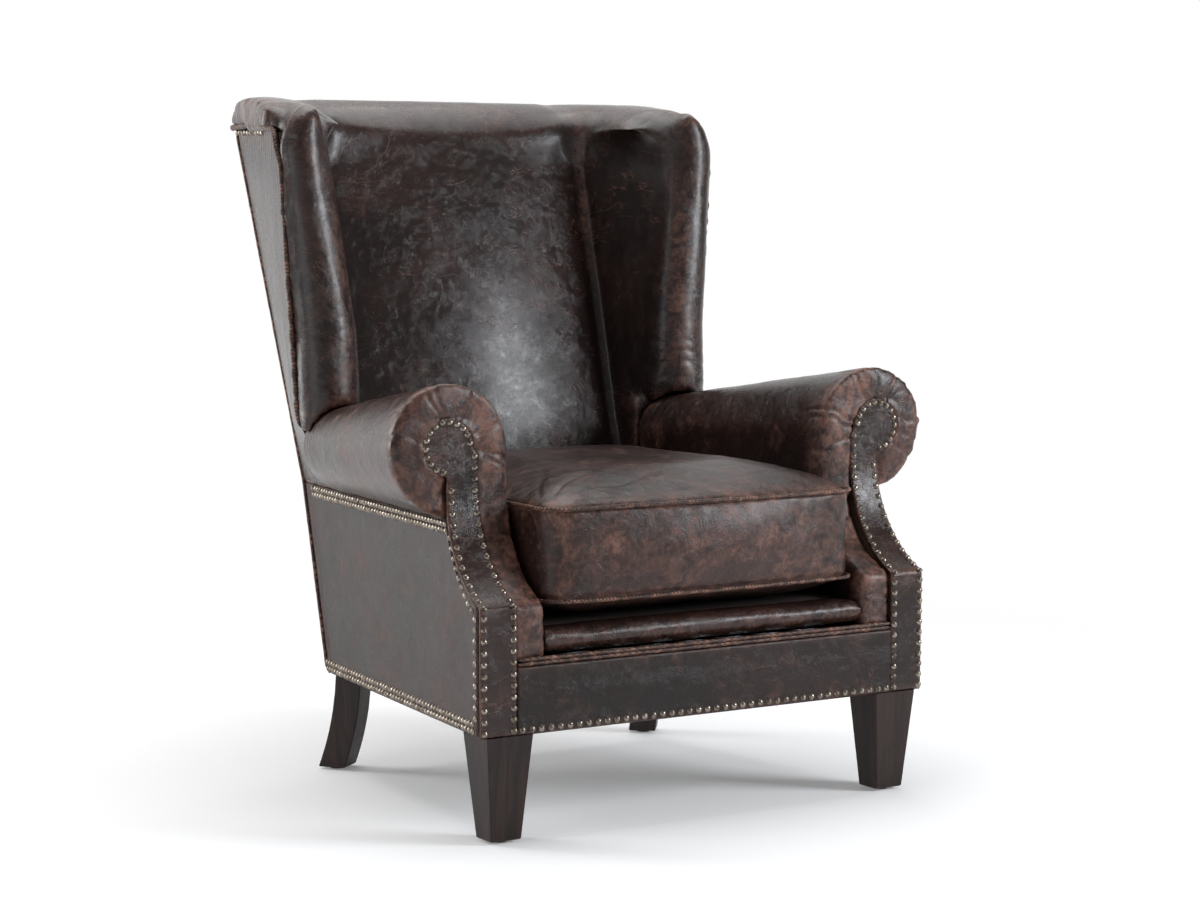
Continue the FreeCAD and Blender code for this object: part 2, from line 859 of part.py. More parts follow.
def wing_x(y, z):
    """Half width of the outer wing at a depth and a height, level lines being straight."""
    rear = float(rear_y(Size(z)))
    share = (y - wing_front_y) / (rear - wing_front_y)
    return wing_front_x(z) + (float(back_half(Size(z))) - wing_front_x(z)) * share


def wing_layer(z, near, far, front, rear):
    """A level slice of the outer wing between two depths under its outside."""
    return polygon([
        (wing_x(front, z) - near, front, z),
        (wing_x(front, z) - far, front, z),
        (wing_x(rear, z) - far, rear, z),
        (wing_x(rear, z) - near, rear, z),
    ])


crest_line_front = float(crest_seam_z) - 16
crest_line_rear = float(crest_seam_z) - 7.5
wing_corner = 38
panel = float(dim("wing_panel_thickness"))
fit_gap = float(dim("fit_gap"))
panel_levels = [float(side_top) + fit_gap, float(wing_low_z), float(crest_seam_z)]
panel_sections = [wing_layer(z, 0, panel, wing_front_y, float(rear_y(Size(z)))) for z in panel_levels]
wing_outer_blank = feature("wing_outer_blank", Part.makeLoft(panel_sections, True, True))
wing_side_view = prism(
    "wing_side_view",
    "yz",
    [
        (wing_front_y, side_top),
        (half_depth, side_top),
        (half_depth, crest_line_rear - fit_gap),
        (wing_front_y + wing_corner * 0.75, crest_line_front - fit_gap),
        (wing_front_y, crest_line_front - wing_corner * 1.4),
    ],
    0,
    dim("overall_width"),
)
wing_outer_trimmed = shared("wing_outer_trimmed", wing_outer_blank, wing_side_view)
wing_outer = carved("wing_outer_cut", wing_outer_trimmed, [outside_back])
wing_outers = keep_pair("wing_outer", wing_outer)

board = panel + 1 + float(dim("wing_board_thickness"))
board_levels = [float(wing_low_z) - 30, float(wing_low_z) + 20, float(frame_top)]
board_sections = [
    wing_layer(z, panel + (1 if z > float(wing_low_z) else 9), board, wing_front_y + 14, float(post_front_y(Size(z))))
    for z in board_levels
]
wing_board_blank = feature("wing_board_blank", Part.makeLoft(board_sections, True, True))
wing_board = carved("wing_board_cut", wing_board_blank, [arm_rail])
wing_boards = keep_pair("wing_board", wing_board)

# Arm pads: the roll, its inner side and the pleated front round the facing.
roll_foot_z = float(side_top) + 2


def arm_section(y, inner, middle, radius, middle_z, side):
    """An upright slice of the arm: inside face, rolled top, tucked foot and hollow behind."""
    slant = math.sqrt(0.5)
    inner_reach = middle - inner
    base = float(border_top) + 2
    hollow = inner + float(dim("inner_pad"))
    return Part.Wire([
        line((inner, y, base), (inner, y, middle_z)),
        arc(
            (inner, y, middle_z),
            (middle - inner_reach * slant, y, middle_z + radius * slant),
            (middle, y, middle_z + radius),
        ),
        arc(
            (middle, y, middle_z + radius),
            (middle + radius * slant, y, middle_z + radius * slant),
            (middle + radius, y, middle_z),
        ),
        arc(
            (middle + radius, y, middle_z),
            (middle + radius * 0.8, y, middle_z - radius * 0.6),
            (side, y, roll_foot_z),
        ),
        line((side, y, roll_foot_z), (hollow, y, roll_foot_z)),
        line((hollow, y, roll_foot_z), (hollow, y, base)),
        line((hollow, y, base), (inner, y, base)),
    ])


neck_run = dim("scroll_setback") + dim("pad_setback")
neck_share = float(neck_run / (arm_rear_y - front_y - neck_run))


def from_neck(at_neck, at_rear):
    """A size of the arm carried on from the neck to the very front."""
    return float(at_neck) + (float(at_neck) - float(at_rear)) * neck_share


roll_rear_x = side_x(arm_rear_y) - 5
arm_sections = [
    arm_section(
        float(front_y),
        float(seat_front_half),
        from_neck(roll_x, roll_rear_x),
        from_neck(dim("roll_radius"), dim("roll_radius_rear")),
        from_neck(arm_front_centre_z, arm_rear_centre_z),
        float(side_x(front_y)),
    ),
    arm_section(
        wing_front_y,
        float(seat_rear_half),
        float(roll_rear_x),
        float(dim("roll_radius_rear")),
        float(arm_rear_centre_z),
        float(side_x(arm_rear_y)),
    ),
]
arm_envelope = feature("arm_envelope", Part.makeLoft(arm_sections, True, True))
facing_room = feature(
    "facing_room",
    front_layer(
        float(dim("pad_setback")),
        float(dim("front_skin") + dim("fit_gap")),
        float(facing_inner) - fit_gap,
        float(front_half) + fit_gap,
        block_top + float(dim("cove_height")) + 6,
    ),
)
neck_room = feature(
    "neck_room",
    front_layer(
        float(dim("pad_setback")),
        float(dim("front_skin") + dim("fit_gap")),
        float(facing_inner) - fit_gap,
        neck_outer + fit_gap,
        scroll_z,
    ),
)
disc_room_centre = Vector(float(roll_x), -1000, scroll_z)
disc_room_depth = 1000 + front_height_y(1e4) + float(dim("front_skin") + dim("fit_gap"))
disc_room_radius = float(dim("scroll_radius")) + fit_gap
disc_room = feature(
    "disc_room", Part.makeCylinder(disc_room_radius, disc_room_depth, disc_room_centre, Vector(0, 1, 0))
)
arm_front_room = feature("arm_front_room", front_room(float(dim("pad_setback")), scroll_z + 200))
arm_pad = carved(
    "arm_pad_cut",
    arm_envelope,
    [arm_front_room, facing_room, neck_room, disc_room, arm_post_blank, arm_rail, side_room],
)
arm_pads = keep_pair("arm_pad", arm_pad)

# Inside back: a crowned pad between the wings.
seam_slope = (dim("seam_y_top") - dim("seam_y_low")) / (frame_top - border_top)


def seam_y(z):
    """The front of the inside back beside the wings at a height."""
    return dim("seam_y_low") + seam_slope * (z - border_top)


def back_section(x, crown):
    """A side view slice of the inside back with the given crown."""
    low_z, high_z = float(deck_top) + 0.4, float(frame_top)
    middle_z = low_z + 0.48 * (high_z - low_z)
    front_low = (x, float(seam_y(Size(low_z))) - 0.2 * crown, low_z)
    front_high = (x, float(seam_y(Size(high_z))) - 0.3 * crown, high_z)
    middle = (x, float(seam_y(Size(middle_z))) - crown, middle_z)
    rear_high = (x, float(pad_back_y(Size(high_z))), high_z)
    rear_low = (x, float(pad_back_y(Size(low_z))), low_z)
    return Part.Wire([
        arc(front_low, middle, front_high),
        line(front_high, rear_high),
        line(rear_high, rear_low),
        line(rear_low, front_low),
    ])


back_half_width = float(dim("back_half_width"))
crown = float(dim("back_crown"))
back_sections = [
    back_section(-back_half_width, -3),
    back_section(0, crown),
    back_section(back_half_width, -3),
]
inside_back = feature("inside_back_pad", Part.makeLoft(back_sections, True, False))
keep("inside_back", inside_back)

# Crest: a roll over the top of the back, wider behind the wings.
crest_z = float(crest_seam_z)
top_z = float(dim("overall_height"))
tip_y = float(half_depth)
crest_front = float(seam_y(Size(float(frame_top)))) - 0.3 * crown
crest_low = float(frame_top) + 0.3
apex_y = crest_front + 74


def from_apex(x, y, z):
    """An arc that leaves the top of the crest level and ends at a point below it."""
    run, fall = y - apex_y, top_z - z
    radius = (run ** 2 + fall ** 2) / (2 * fall)
    turn = 0.5 * math.asin(abs(run) / radius)
    middle_y = apex_y + math.copysign(radius * math.sin(turn), run)
    return arc((x, apex_y, top_z), (x, middle_y, top_z - radius * (1 - math.cos(turn))), (x, y, z))


def crest_profile(x, front, low_front):
    """A side view of the crest from its front foot over the top to the tip and back under."""
    seat_y = float(rear_y(crest_seam_z))
    return Part.Wire([
        from_apex(x, front, low_front),
        from_apex(x, tip_y, crest_z + 3),
        arc((x, tip_y, crest_z + 3), (x, tip_y - 5, crest_z - 4), (x, seat_y, crest_line_rear)),
        line((x, seat_y, crest_line_rear), (x, seat_y - 14, crest_line_rear)),
        line((x, seat_y - 14, crest_line_rear), (x, seat_y - 14, crest_low)),
        line((x, seat_y - 14, crest_low), (x, front, crest_low)),
        line((x, front, crest_low), (x, front, low_front)),
    ])


crest_middle = Part.Face(crest_profile(-back_half_width, crest_front, crest_low + 8)).extrude(
    Vector(2 * back_half_width, 0, 0)
)
crest_start_y = wing_front_y + wing_corner * 0.75
crest_outer = float(dim("crest_side_overhang"))
end_wire = Part.Wire([
    from_apex(back_half_width, crest_start_y, top_z - 22),
    from_apex(back_half_width, tip_y, crest_z + 3),
    arc(
        (back_half_width, tip_y, crest_z + 3),
        (back_half_width, tip_y - 5, crest_z - 4),
        (back_half_width, float(rear_y(crest_seam_z)), crest_line_rear),
    ),
    line(
        (back_half_width, float(rear_y(crest_seam_z)), crest_line_rear),
        (back_half_width, crest_start_y, crest_line_front),
    ),
    line(
        (back_half_width, crest_start_y, crest_line_front),
        (back_half_width, crest_start_y, top_z - 22),
    ),
])
crest_end = Part.Face(end_wire).extrude(Vector(200, 0, 0))
plan_front = wing_x(crest_start_y, crest_z) + crest_outer
plan_rear = wing_x(tip_y, crest_z) + crest_outer
crest_plan = Part.Face(
    polygon([
        (back_half_width - 1, crest_start_y - 1, 0),
        (plan_front - 14, crest_start_y - 1, 0),
        (plan_front, crest_start_y + 24, 0),
        (plan_rear, tip_y + 1, 0),
        (back_half_width - 1, tip_y + 1, 0),
    ])
).extrude(Vector(0, 0, 2 * top_z))
crest_end = crest_end.common(crest_plan)
crest_end_left = crest_end.mirror(Vector(0, 0, 0), Vector(1, 0, 0))
crest_shape = crest_middle.fuse([crest_end, crest_end_left]).removeSplitter()
crest_roll = feature("crest_roll_form", crest_shape)
keep("crest_roll", crest_roll)

# Wing pads: the inner side and the front roll of each wing, with a foot behind the arm.


def wing_section(z, middle_x, middle_y, radius):
    """A level slice of the wing: inner side, rolled front, outer side and back."""
    slant = radius * math.sqrt(0.5)
    seam = max(float(seam_y(Size(z))), middle_y + 2)
    side_front = min(wing_x(wing_front_y + 26, z) - panel - fit_gap, middle_x + radius - 0.2)
    rear = float(pad_back_y(Size(min(z, float(frame_top)))))
    outer = wing_x(rear, z) - panel - fit_gap
    inner = back_half_width + fit_gap
    return Part.Wire([
        line((inner, seam, z), (middle_x - radius, middle_y, z)),
        arc(
            (middle_x - radius, middle_y, z),
            (middle_x - slant, middle_y - slant, z),
            (middle_x, middle_y - radius, z),
        ),
        arc(
            (middle_x, middle_y - radius, z),
            (middle_x + slant, middle_y - slant, z),
            (middle_x + radius, middle_y, z),
        ),
        line((middle_x + radius, middle_y, z), (side_front, wing_front_y + 26, z)),
        line((side_front, wing_front_y + 26, z), (outer, rear, z)),
        line((outer, rear, z), (inner, rear, z)),
        line((inner, rear, z), (inner, seam, z)),
    ])


roll_low_x = float(dim("wing_roll_x_low"))
roll_high_x = float(dim("wing_roll_x_top"))
roll_low_r = float(dim("wing_roll_radius_low"))
roll_high_r = float(dim("wing_roll_radius_top"))
roll_y = float(dim("wing_roll_y"))
foot_z = float(wing_low_z) - 20
shoulder_z = float(crest_seam_z) - 50
wing_levels = [
    (foot_z, roll_low_x, roll_y - 14, roll_low_r),
    (foot_z + 0.36 * (shoulder_z - foot_z), roll_low_x + 2, roll_y - 10, roll_low_r - 4),
    (shoulder_z, roll_high_x, roll_y, roll_high_r),
    (top_z, roll_high_x, roll_y + 4, roll_high_r),
]
wing_tall = feature("wing_tall", Part.makeLoft([wing_section(*level) for level in wing_levels], True, True))
corner_round = 84.0
corner_x = roll_high_x + roll_high_r
corner_top = top_z - 9
round_middle = (corner_x - corner_round * (1 - math.sqrt(0.5)), -500, corner_top - corner_round * (1 - math.sqrt(0.5)))
hood_wire = Part.Wire([
    line((back_half_width - 1, -500, 0), (corner_x + 30, -500, 0)),
    line((corner_x + 30, -500, 0), (corner_x + 30, -500, shoulder_z - 60)),
    line((corner_x + 30, -500, shoulder_z - 60), (corner_x, -500, corner_top - corner_round)),
    arc(
        (corner_x, -500, corner_top - corner_round),
        round_middle,
        (corner_x - corner_round, -500, corner_top),
    ),
    line((corner_x - corner_round, -500, corner_top), (back_half_width - 1, -500, corner_top)),
    line((back_half_width - 1, -500, corner_top), (back_half_width - 1, -500, 0)),
])
wing_hood = feature("wing_hood", Part.Face(hood_wire).extrude(Vector(0, 1200, 0)))
wing_upper = shared("wing_upper", wing_tall, wing_hood)


def wing_foot_section(z, outer_front):
    rear = float(pad_back_y(Size(z)))
    return polygon([
        (float(seat_rear_half) + fit_gap, wing_front_y + fit_gap, z),
        (outer_front, wing_front_y + fit_gap, z),
        (float(side_rear_half) - 9, rear, z),
        (back_half_width + fit_gap, rear, z),
    ])


foot_low = float(border_top) + 2
foot_sections = [
    wing_foot_section(foot_low, float(side_x(arm_rear_y)) - 9),
    wing_foot_section(float(side_top), float(side_x(arm_rear_y)) - 9),
    wing_foot_section(float(wing_low_z) + 5, float(side_x(arm_rear_y)) + 20),
]
wing_foot = feature("wing_foot", Part.makeLoft(foot_sections, True, True))
wing_envelope = joined("wing_envelope", [wing_upper, wing_foot])
board_room_sections = [
    wing_layer(z, -1, board + fit_gap, wing_front_y + 13, float(post_front_y(Size(z)) + 8)) for z in board_levels
]
board_room = feature("wing_board_room", Part.makeLoft(board_room_sections, True, True))
panel_room_sections = [
    wing_layer(z, -30, panel + fit_gap, wing_front_y - 6, float(rear_y(Size(z)))) for z in panel_levels
]
panel_room = feature("wing_panel_room", Part.makeLoft(panel_room_sections, True, True))
wing_room = [arm_envelope, arm_rail, board_room, panel_room, crest_roll, side_rail_blank, side_slab]
wing_pad = carved("wing_pad_cut", wing_envelope, wing_room)
wing_pads = keep_pair("wing_pad", wing_pad)

# Seat: a rolled lip, the deck pad on the springs and the double welt over the border.
lip_front = float(front_y) + 7
lip_low = float(border_top) + 12
lip_high = float(deck_top)
lip_radius = (lip_high - lip_low) / 2
lip_back = float(front_y + dim("lip_depth") + dim("front_skin"))
lip_middle = lip_low + lip_radius
lip_wire = Part.Wire([
    line((0, lip_back, lip_low), (0, lip_front + lip_radius, lip_low)),
    arc(
        (0, lip_front + lip_radius, lip_low),
        (0, lip_front + lip_radius * (1 - math.sqrt(0.5)), lip_middle - lip_radius * math.sqrt(0.5)),
        (0, lip_front, lip_middle),
    ),
    arc(
        (0, lip_front, lip_middle),
        (0, lip_front + lip_radius * (1 - math.sqrt(0.5)), lip_middle + lip_radius * math.sqrt(0.5)),
        (0, lip_front + lip_radius, lip_high),
    ),
    line((0, lip_front + lip_radius, lip_high), (0, lip_back, lip_high)),
    line((0, lip_back, lip_high), (0, lip_back, lip_low)),
])
lip_shape = Part.Face(lip_wire).extrude(Vector(2 * float(seat_front_half), 0, 0))
lip_shape.translate(Vector(-float(seat_front_half), 0, 0))
seat_lip = carved("seat_lip_cut", feature("lip_blank", lip_shape), arm_pads)
keep("seat_lip", seat_lip)

deck_low = spring_z + wire_radius + 0.2
deck_block = Part.makeBox(
    2 * float(seat_front_half),
    float(seam_y(deck_top)) - lip_back,
    lip_high - deck_low,
    Vector(-float(seat_front_half), lip_back, deck_low),
)
deck_room = arm_pads + wing_pads + [inside_back]
seat_deck = carved("seat_deck_cut", feature("deck_block", deck_block), deck_room)
keep("seat_deck", seat_deck)

welt_radius = float(dim("welt_radius"))
welt_length = 2 * float(facing_inner)
welts = []
for step in (1, 3):
    start = Vector(-welt_length / 2, float(front_y) + 1, float(border_top) + welt_radius * step)
    welts.append(Part.makeCylinder(welt_radius - 0.05, welt_length, start, Vector(1, 0, 0)))
keep("border_welt", feature("border_welt_pair", Part.makeCompound(welts)))

# Loose seat cushion: a crowned cover with drawn-in sides, its core, welts and rear zip.
cushion_low_welt = float(deck_top + dim("cushion_gap") + dim("cushion_crown_low"))
cushion_high_welt = cushion_low_welt + float(dim("cushion_box"))
cushion_front = float(front_y) + 8
cushion_rear = float(seam_y(Size(cushion_low_welt))) - 0.62 * crown - 6
side_gap = float(dim("cushion_side_gap"))


def seat_half(y):
    """Half width between the inside arms at a depth."""
    share = (y - float(front_y)) / (wing_front_y - float(front_y))
    return float(seat_front_half) + (float(seat_rear_half) - float(seat_front_half)) * share


def cushion_outline(z, inset, nose, radius):
    """A level slice of the cushion: a bowed front, straight sides and rounded corners."""
    front = cushion_front + inset
    rear = cushion_rear - inset
    near = seat_half(front) - side_gap - inset
    far = seat_half(rear) - side_gap - inset
    slant = radius * (1 - math.sqrt(0.5))
    return Part.Wire([
        arc((-near + radius, front, z), (0, front - nose, z), (near - radius, front, z)),
        arc((near - radius, front, z), (near - slant, front + slant, z), (near, front + radius, z)),
        line((near, front + radius, z), (far, rear - radius, z)),
        arc((far, rear - radius, z), (far - slant, rear - slant, z), (far - radius, rear, z)),
        line((far - radius, rear, z), (-far + radius, rear, z)),
        arc((-far + radius, rear, z), (-far + slant, rear - slant, z), (-far, rear - radius, z)),
        line((-far, rear - radius, z), (-near, front + radius, z)),
        arc((-near, front + radius, z), (-near + slant, front + slant, z), (-near + radius, front, z)),
    ])


cushion_nose = float(dim("cushion_nose"))
crown_low = float(dim("cushion_crown_low"))
crown_top = float(dim("cushion_crown_top"))


def cushion_solid(shrink):
    """The cushion's form, drawn in all round by the given amount."""
    low, high = cushion_low_welt, cushion_high_welt
    box_height = high - low
    front_swell = float(half_depth) + cushion_front - cushion_nose
    levels = [
        (low - crown_low + shrink, 120 + shrink, 5, 60),
        (low - 0.8 * crown_low + shrink, 62 + shrink, 6, 55),
        (low - 0.38 * crown_low + shrink, 18 + shrink, 8, 45),
        (low, shrink, cushion_nose, 40),
        (low + 0.25 * box_height, 1.5 + shrink, cushion_nose + front_swell * 0.8, 40),
        (low + 0.5 * box_height, 2 + shrink, cushion_nose + front_swell + 2, 40),
        (low + 0.75 * box_height, 1.5 + shrink, cushion_nose + front_swell * 0.8, 40),
        (high, shrink, cushion_nose, 40),
        (high + 0.4 * crown_top - shrink, 20 + shrink, 8, 45),
        (high + 0.8 * crown_top - shrink, 68 + shrink, 6, 55),
        (high + crown_top - shrink, 130 + shrink, 5, 60),
    ]
    return Part.makeLoft([cushion_outline(*level) for level in levels], True, True)


cover_thickness = float(dim("cushion_cover_thickness"))
cover_outside = feature("cushion_outside", cushion_solid(0))
cover_inside = feature("cushion_inside", cushion_solid(cover_thickness))
keep("cushion_cover", carved("cushion_cover_cut", cover_outside, [cover_inside]))
keep("cushion_core", feature("cushion_core_block", cushion_solid(cover_thickness + 0.8)))


def cord_ring(centre, ahead):
    """The round section of a level cord, from its top over one side to the foot and back."""
    up = Vector(0, 0, welt_radius)
    side = ahead.cross(Vector(0, 0, 1)).normalize() * welt_radius
    near = Part.Arc(centre + up, centre + side, centre - up).toShape()
    far = Part.Arc(centre - up, centre - side, centre + up).toShape()
    return Part.Wire([near, far])


def cushion_welt(z):
    """A welt cord laid round the cushion at one seam."""
    clear = welt_radius + 0.6
    path = cushion_outline(z, -clear, cushion_nose, 40 + clear)
    places = []
    for edge in path.OrderedEdges:
        straight = isinstance(edge.Curve, Part.Line)
        points = edge.discretize(Number=3 if straight else 8)
        if edge.Orientation == "Reversed":
            points = points[::-1]
        places += points[:-1]
    rings = []
    for index, place in enumerate(places):
        ahead = places[(index + 1) % len(places)] - places[index - 1]
        rings.append(cord_ring(place, ahead))
    return Part.makeLoft(rings, True, True, True)


cushion_welts = Part.makeCompound([cushion_welt(cushion_low_welt), cushion_welt(cushion_high_welt)])
keep("cushion_welts", feature("cushion_welt_pair", cushion_welts))
zip_length = 360
zip_z = (cushion_low_welt + cushion_high_welt) / 2
zip_tape = Part.makeBox(zip_length, 1.2, 12, Vector(-zip_length / 2, cushion_rear - 1.8, zip_z - 6))
zip_pull = Part.makeBox(7, 1.6, 22, Vector(zip_length / 2 - 20, cushion_rear - 0.6, zip_z - 20))
keep("cushion_zip", feature("cushion_zip_parts", Part.makeCompound([zip_tape, zip_pull])))

# Decorative nails: domed heads on the leather, in rows.
nail_radius = float(dim("nail_radius"))
nail_dome = float(dim("nail_dome"))
ball_radius = (nail_radius ** 2 + nail_dome ** 2) / (2 * nail_dome)
dome_latitude = math.degrees(math.asin((ball_radius - nail_dome) / ball_radius))
nail_head = Part.makeSphere(ball_radius, Vector(0, 0, 0), Vector(0, 0, 1), dome_latitude, 90, 360)
nail_head.translate(Vector(0, 0, nail_dome - ball_radius))


def nails(name, places):
    """A node of nail heads, each with its seat and the way it faces."""
    heads = []
    lift = float(dim("nail_seat_gap"))
    for seat, way in places:
        head = nail_head.copy()
        facing_way = Vector(*way).normalize()
        turned = Placement(Vector(*seat) + facing_way * lift, Rotation(Vector(0, 0, 1), facing_way))
        head.Placement = turned.multiply(head.Placement)
        heads.append(head)
    return feature(name, Part.makeCompound(heads))


def spaced(points, pitch):
    """Points at an even spacing along a line of points."""
    lengths = [math.dist(a, b) for a, b in zip(points, points[1:])]
    total = sum(lengths)
    count = max(2, round(total / pitch) + 1)
    result = []
    for index in range(count):
        left = total * index / (count - 1)
        for a, b, length in zip(points, points[1:], lengths):
            if left <= length + 1e-6:
                share = left / length
                result.append(tuple(p + (q - p) * share for p, q in zip(a, b)))
                break
            left -= length
    return result


def front_seat(x, z):
    """A nail's seat and way on the arm front at one place of the facing."""
    step = 0.5
    y = front_height_y(z)
    rise = front_height_y(z + step) - front_height_y(z - step)
    on_block = z < block_top + step / 2
    way = (0, -1, 0) if on_block else (0, -2 * step, rise)
    return (x, y, z), way


nail_pitch = float(dim("nail_pitch"))
close_pitch = float(dim("close_nail_pitch"))
edge_gap = nail_radius + 0.6
row_z = float(leg_height) + 8
border_row = spaced([(-float(facing_inner) + 8, row_z), (float(facing_inner) - 8, row_z)], nail_pitch)
border_nails = [((x, float(front_y), z), (0, -1, 0)) for x, z in border_row]
keep("border_nails", nails("border_nail_heads", border_nails))


def facing_row(edge_x, top_x, top_z):
    """Heights and places of one edge row, evenly spaced along the curved front."""
    steps = 60
    line_points = []
    for index in range(steps + 1):
        z = row_z + (top_z - row_z) * index / steps
        share = min(max((z - block_top) / (top_z - block_top), 0), 1)
        x = edge_x + (top_x - edge_x) * share
        line_points.append((x, front_height_y(z), z))
    return [front_seat(x, z) for x, _, z in spaced(line_points, nail_pitch)]


scroll_row_radius = float(dim("scroll_radius")) - edge_gap
outer_top = (neck_outer - edge_gap - 1, scroll_z - 62)
inner_top = (float(facing_inner) + edge_gap, scroll_z - 14)
facing_places = facing_row(float(front_half) - edge_gap, *outer_top)
facing_places += facing_row(float(facing_inner) + edge_gap, *inner_top)
scroll_start, scroll_end = math.radians(-78), math.radians(172)
scroll_nails = round(scroll_row_radius * (scroll_end - scroll_start) / (nail_pitch * 0.72))
for index in range(scroll_nails):
    turn = scroll_start + (scroll_end - scroll_start) * index / (scroll_nails - 1)
    x = float(roll_x) + scroll_row_radius * math.cos(turn)
    z = scroll_z + scroll_row_radius * math.sin(turn)
    facing_places.append(front_seat(x, z))
keep_pair("facing_nails", nails("facing_nail_heads", facing_places))

side_way = (1, float(dim("side_taper")) / float(dim("base_depth")), 0)


def side_seat(y, z):
    """A nail's seat and way on the tapered outside arm."""
    return (float(side_x(Size(y))), y, z), side_way


side_places = []
for row_height in (row_z, row_z + 9.6):
    rear_limit = float(rear_y(Size(row_height))) - 8
    row = spaced([(float(front_y) + 30, row_height), (rear_limit, row_height)], close_pitch)
    side_places += [side_seat(y, z) for y, z in row]
for row_height in (float(side_top) - 18, float(side_top) - 8.4):
    start = front_height_y(row_height) + 30
    rear_limit = float(rear_y(Size(row_height))) - 44
    row = spaced([(start, row_height), (rear_limit, row_height)], close_pitch)
    side_places += [side_seat(y, z) for y, z in row]
edge_wire = Part.Wire(front_curve(float(dim("front_skin")) + 8, 0, float(side_top) + 200))
edge_points = [
    (point.y, point.z)
    for point in edge_wire.discretize(Number=121)
    if row_z + 18 < point.z < float(side_top) - 24
]
side_places += [side_seat(y, z) for y, z in spaced(sorted(edge_points, key=lambda p: p[1]), nail_pitch)]
keep_pair("side_nails", nails("side_nail_heads", side_places))

bead_start, bead_end = crest_start_y + 90, float(crest_rear_y) - 14
bead_count = 10
bead_places = []
for index in range(bead_count):
    y = bead_start + (bead_end - bead_start) * index / (bead_count - 1)
    share = (y - crest_start_y) / (float(crest_rear_y) - crest_start_y)
    z = crest_line_front + (crest_line_rear - crest_line_front) * share - 7
    bead_places.append(((wing_x(y, z) + 0.3, y, z), (1, 0.26, -0.05)))
keep_pair("crest_nails", nails("crest_nail_heads", bead_places))

# The last recompute, then every object and every sub-part is tested before it is written.
doc.recompute()
for obj in doc.Objects:
    if "Invalid" in obj.State or "Error" in obj.State:
        raise RuntimeError(f"{obj.Name} failed: {obj.State}")
for label, obj in parts.items():
    shape = obj.Shape
    if shape.isNull() or not shape.isValid() or not shape.Solids:
        raise RuntimeError(f"{label} has no valid solid")
    solids = shape.Solids[0] if len(shape.Solids) == 1 else Part.makeCompound(shape.Solids)
    solids.exportStep(f"parts/{label}.step")
everything = Part.makeCompound([obj.Shape for obj in parts.values()]).BoundBox
print(len(parts), "nodes", everything)
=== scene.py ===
"""Wingback armchair in worn dark brown leather, dressed over its construction model.

Lengths inside this file are millimetres in the chair's own frame: x to the sitter's left as seen
from the front, y to the rear, z up from the floor. Meshes are written in metres.
"""
import json
import math

import bmesh
import bpy
import numpy as np
from bpy.props import FloatProperty, FloatVectorProperty, PointerProperty
from mathutils import Matrix, Vector


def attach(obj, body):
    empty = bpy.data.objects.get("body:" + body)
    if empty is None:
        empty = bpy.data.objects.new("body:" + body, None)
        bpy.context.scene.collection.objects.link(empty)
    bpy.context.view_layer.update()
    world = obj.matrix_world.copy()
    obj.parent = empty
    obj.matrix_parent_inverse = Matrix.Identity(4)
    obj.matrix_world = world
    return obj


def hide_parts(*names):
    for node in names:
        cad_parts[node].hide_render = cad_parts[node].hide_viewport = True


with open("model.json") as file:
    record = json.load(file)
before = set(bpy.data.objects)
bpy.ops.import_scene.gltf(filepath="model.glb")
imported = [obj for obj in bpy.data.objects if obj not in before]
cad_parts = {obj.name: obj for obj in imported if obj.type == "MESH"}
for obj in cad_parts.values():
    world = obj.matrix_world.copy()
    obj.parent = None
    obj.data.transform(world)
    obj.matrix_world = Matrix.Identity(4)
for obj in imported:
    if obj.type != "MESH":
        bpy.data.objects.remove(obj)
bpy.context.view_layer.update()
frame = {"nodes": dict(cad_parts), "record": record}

bl_info = {
    "name": "Wingback armchair",
    "version": (1, 0, 0),
    "blender": (4, 5, 0),
    "location": "3D View > Sidebar > Armchair",
    "description": "Leather, welts, nails, legs and studio of a wingback armchair",
    "category": "Object",
}

CLOTH_FRAMES = 11  # steps of the simulation; the pads have swollen to their caps by then
CORD_SIDES, CORD_WEAR = 8, 0.6  # corners of a cord's section, and how rubbed cords are


# ---------------------------------------------------------------- places on the chair

SIDES = ((-1.0, "left"), (1.0, "right"))
GLIDE_Z = 4.0                         # top of the glides under the legs
BASE_Z = 157.0                        # top of the legs, underside of the upholstery
FRONT_Y, REAR_Y = -463.0, 167.0       # front of the base, and its rear at the underside
FRONT_HALF, REAR_HALF = 394.0, 314.0  # half width of the base at those two places
COVE_Y, COVE_RADIUS = -539.8, 183.8   # centre and radius of the cove in the arm's front
COVE_LOW, COVE_HIGH = 343.0, 510.0    # heights at which the cove starts and ends
SCROLL_X, SCROLL_Z = 383.0, 560.0     # centre of the arm's scroll
SCROLL_Y = -356.0                     # front plane of the scroll
FACING_RADIUS = 42.0                  # disc at the top of the arm facing
FACING_X = 334.0                      # inner edge of the facing's stem, where the border ends
BORDER_TOP = 256.0                    # top of the front border, under its two welts
SIDE_TOP = 458.0                      # top of the side panel, foot of the outer wing
WING_Y = 137.0                        # front edge of the outer wing
CREST_Z, CREST_Y = 1034.0, 465.0      # where the outside back meets the crest
CUSHION_LOW, CUSHION_HIGH = 341.4, 473.4  # heights of the cushion's welts


def front_y(z):
    """Front line of the arm: upright block, then a cove arc that sweeps back, then upright."""
    z = np.asarray(z, float)
    arc = COVE_Y + np.sqrt(np.maximum(COVE_RADIUS**2 - (z - COVE_HIGH) ** 2, 0.0))
    return np.where(z < COVE_LOW, FRONT_Y, np.where(z < COVE_HIGH, arc, SCROLL_Y))


def side_x(y):
    """Half width of the base, tapering in a straight line towards the rear."""
    taper = (np.asarray(y, float) - FRONT_Y) / (REAR_Y - FRONT_Y)
    return FRONT_HALF - (FRONT_HALF - REAR_HALF) * taper


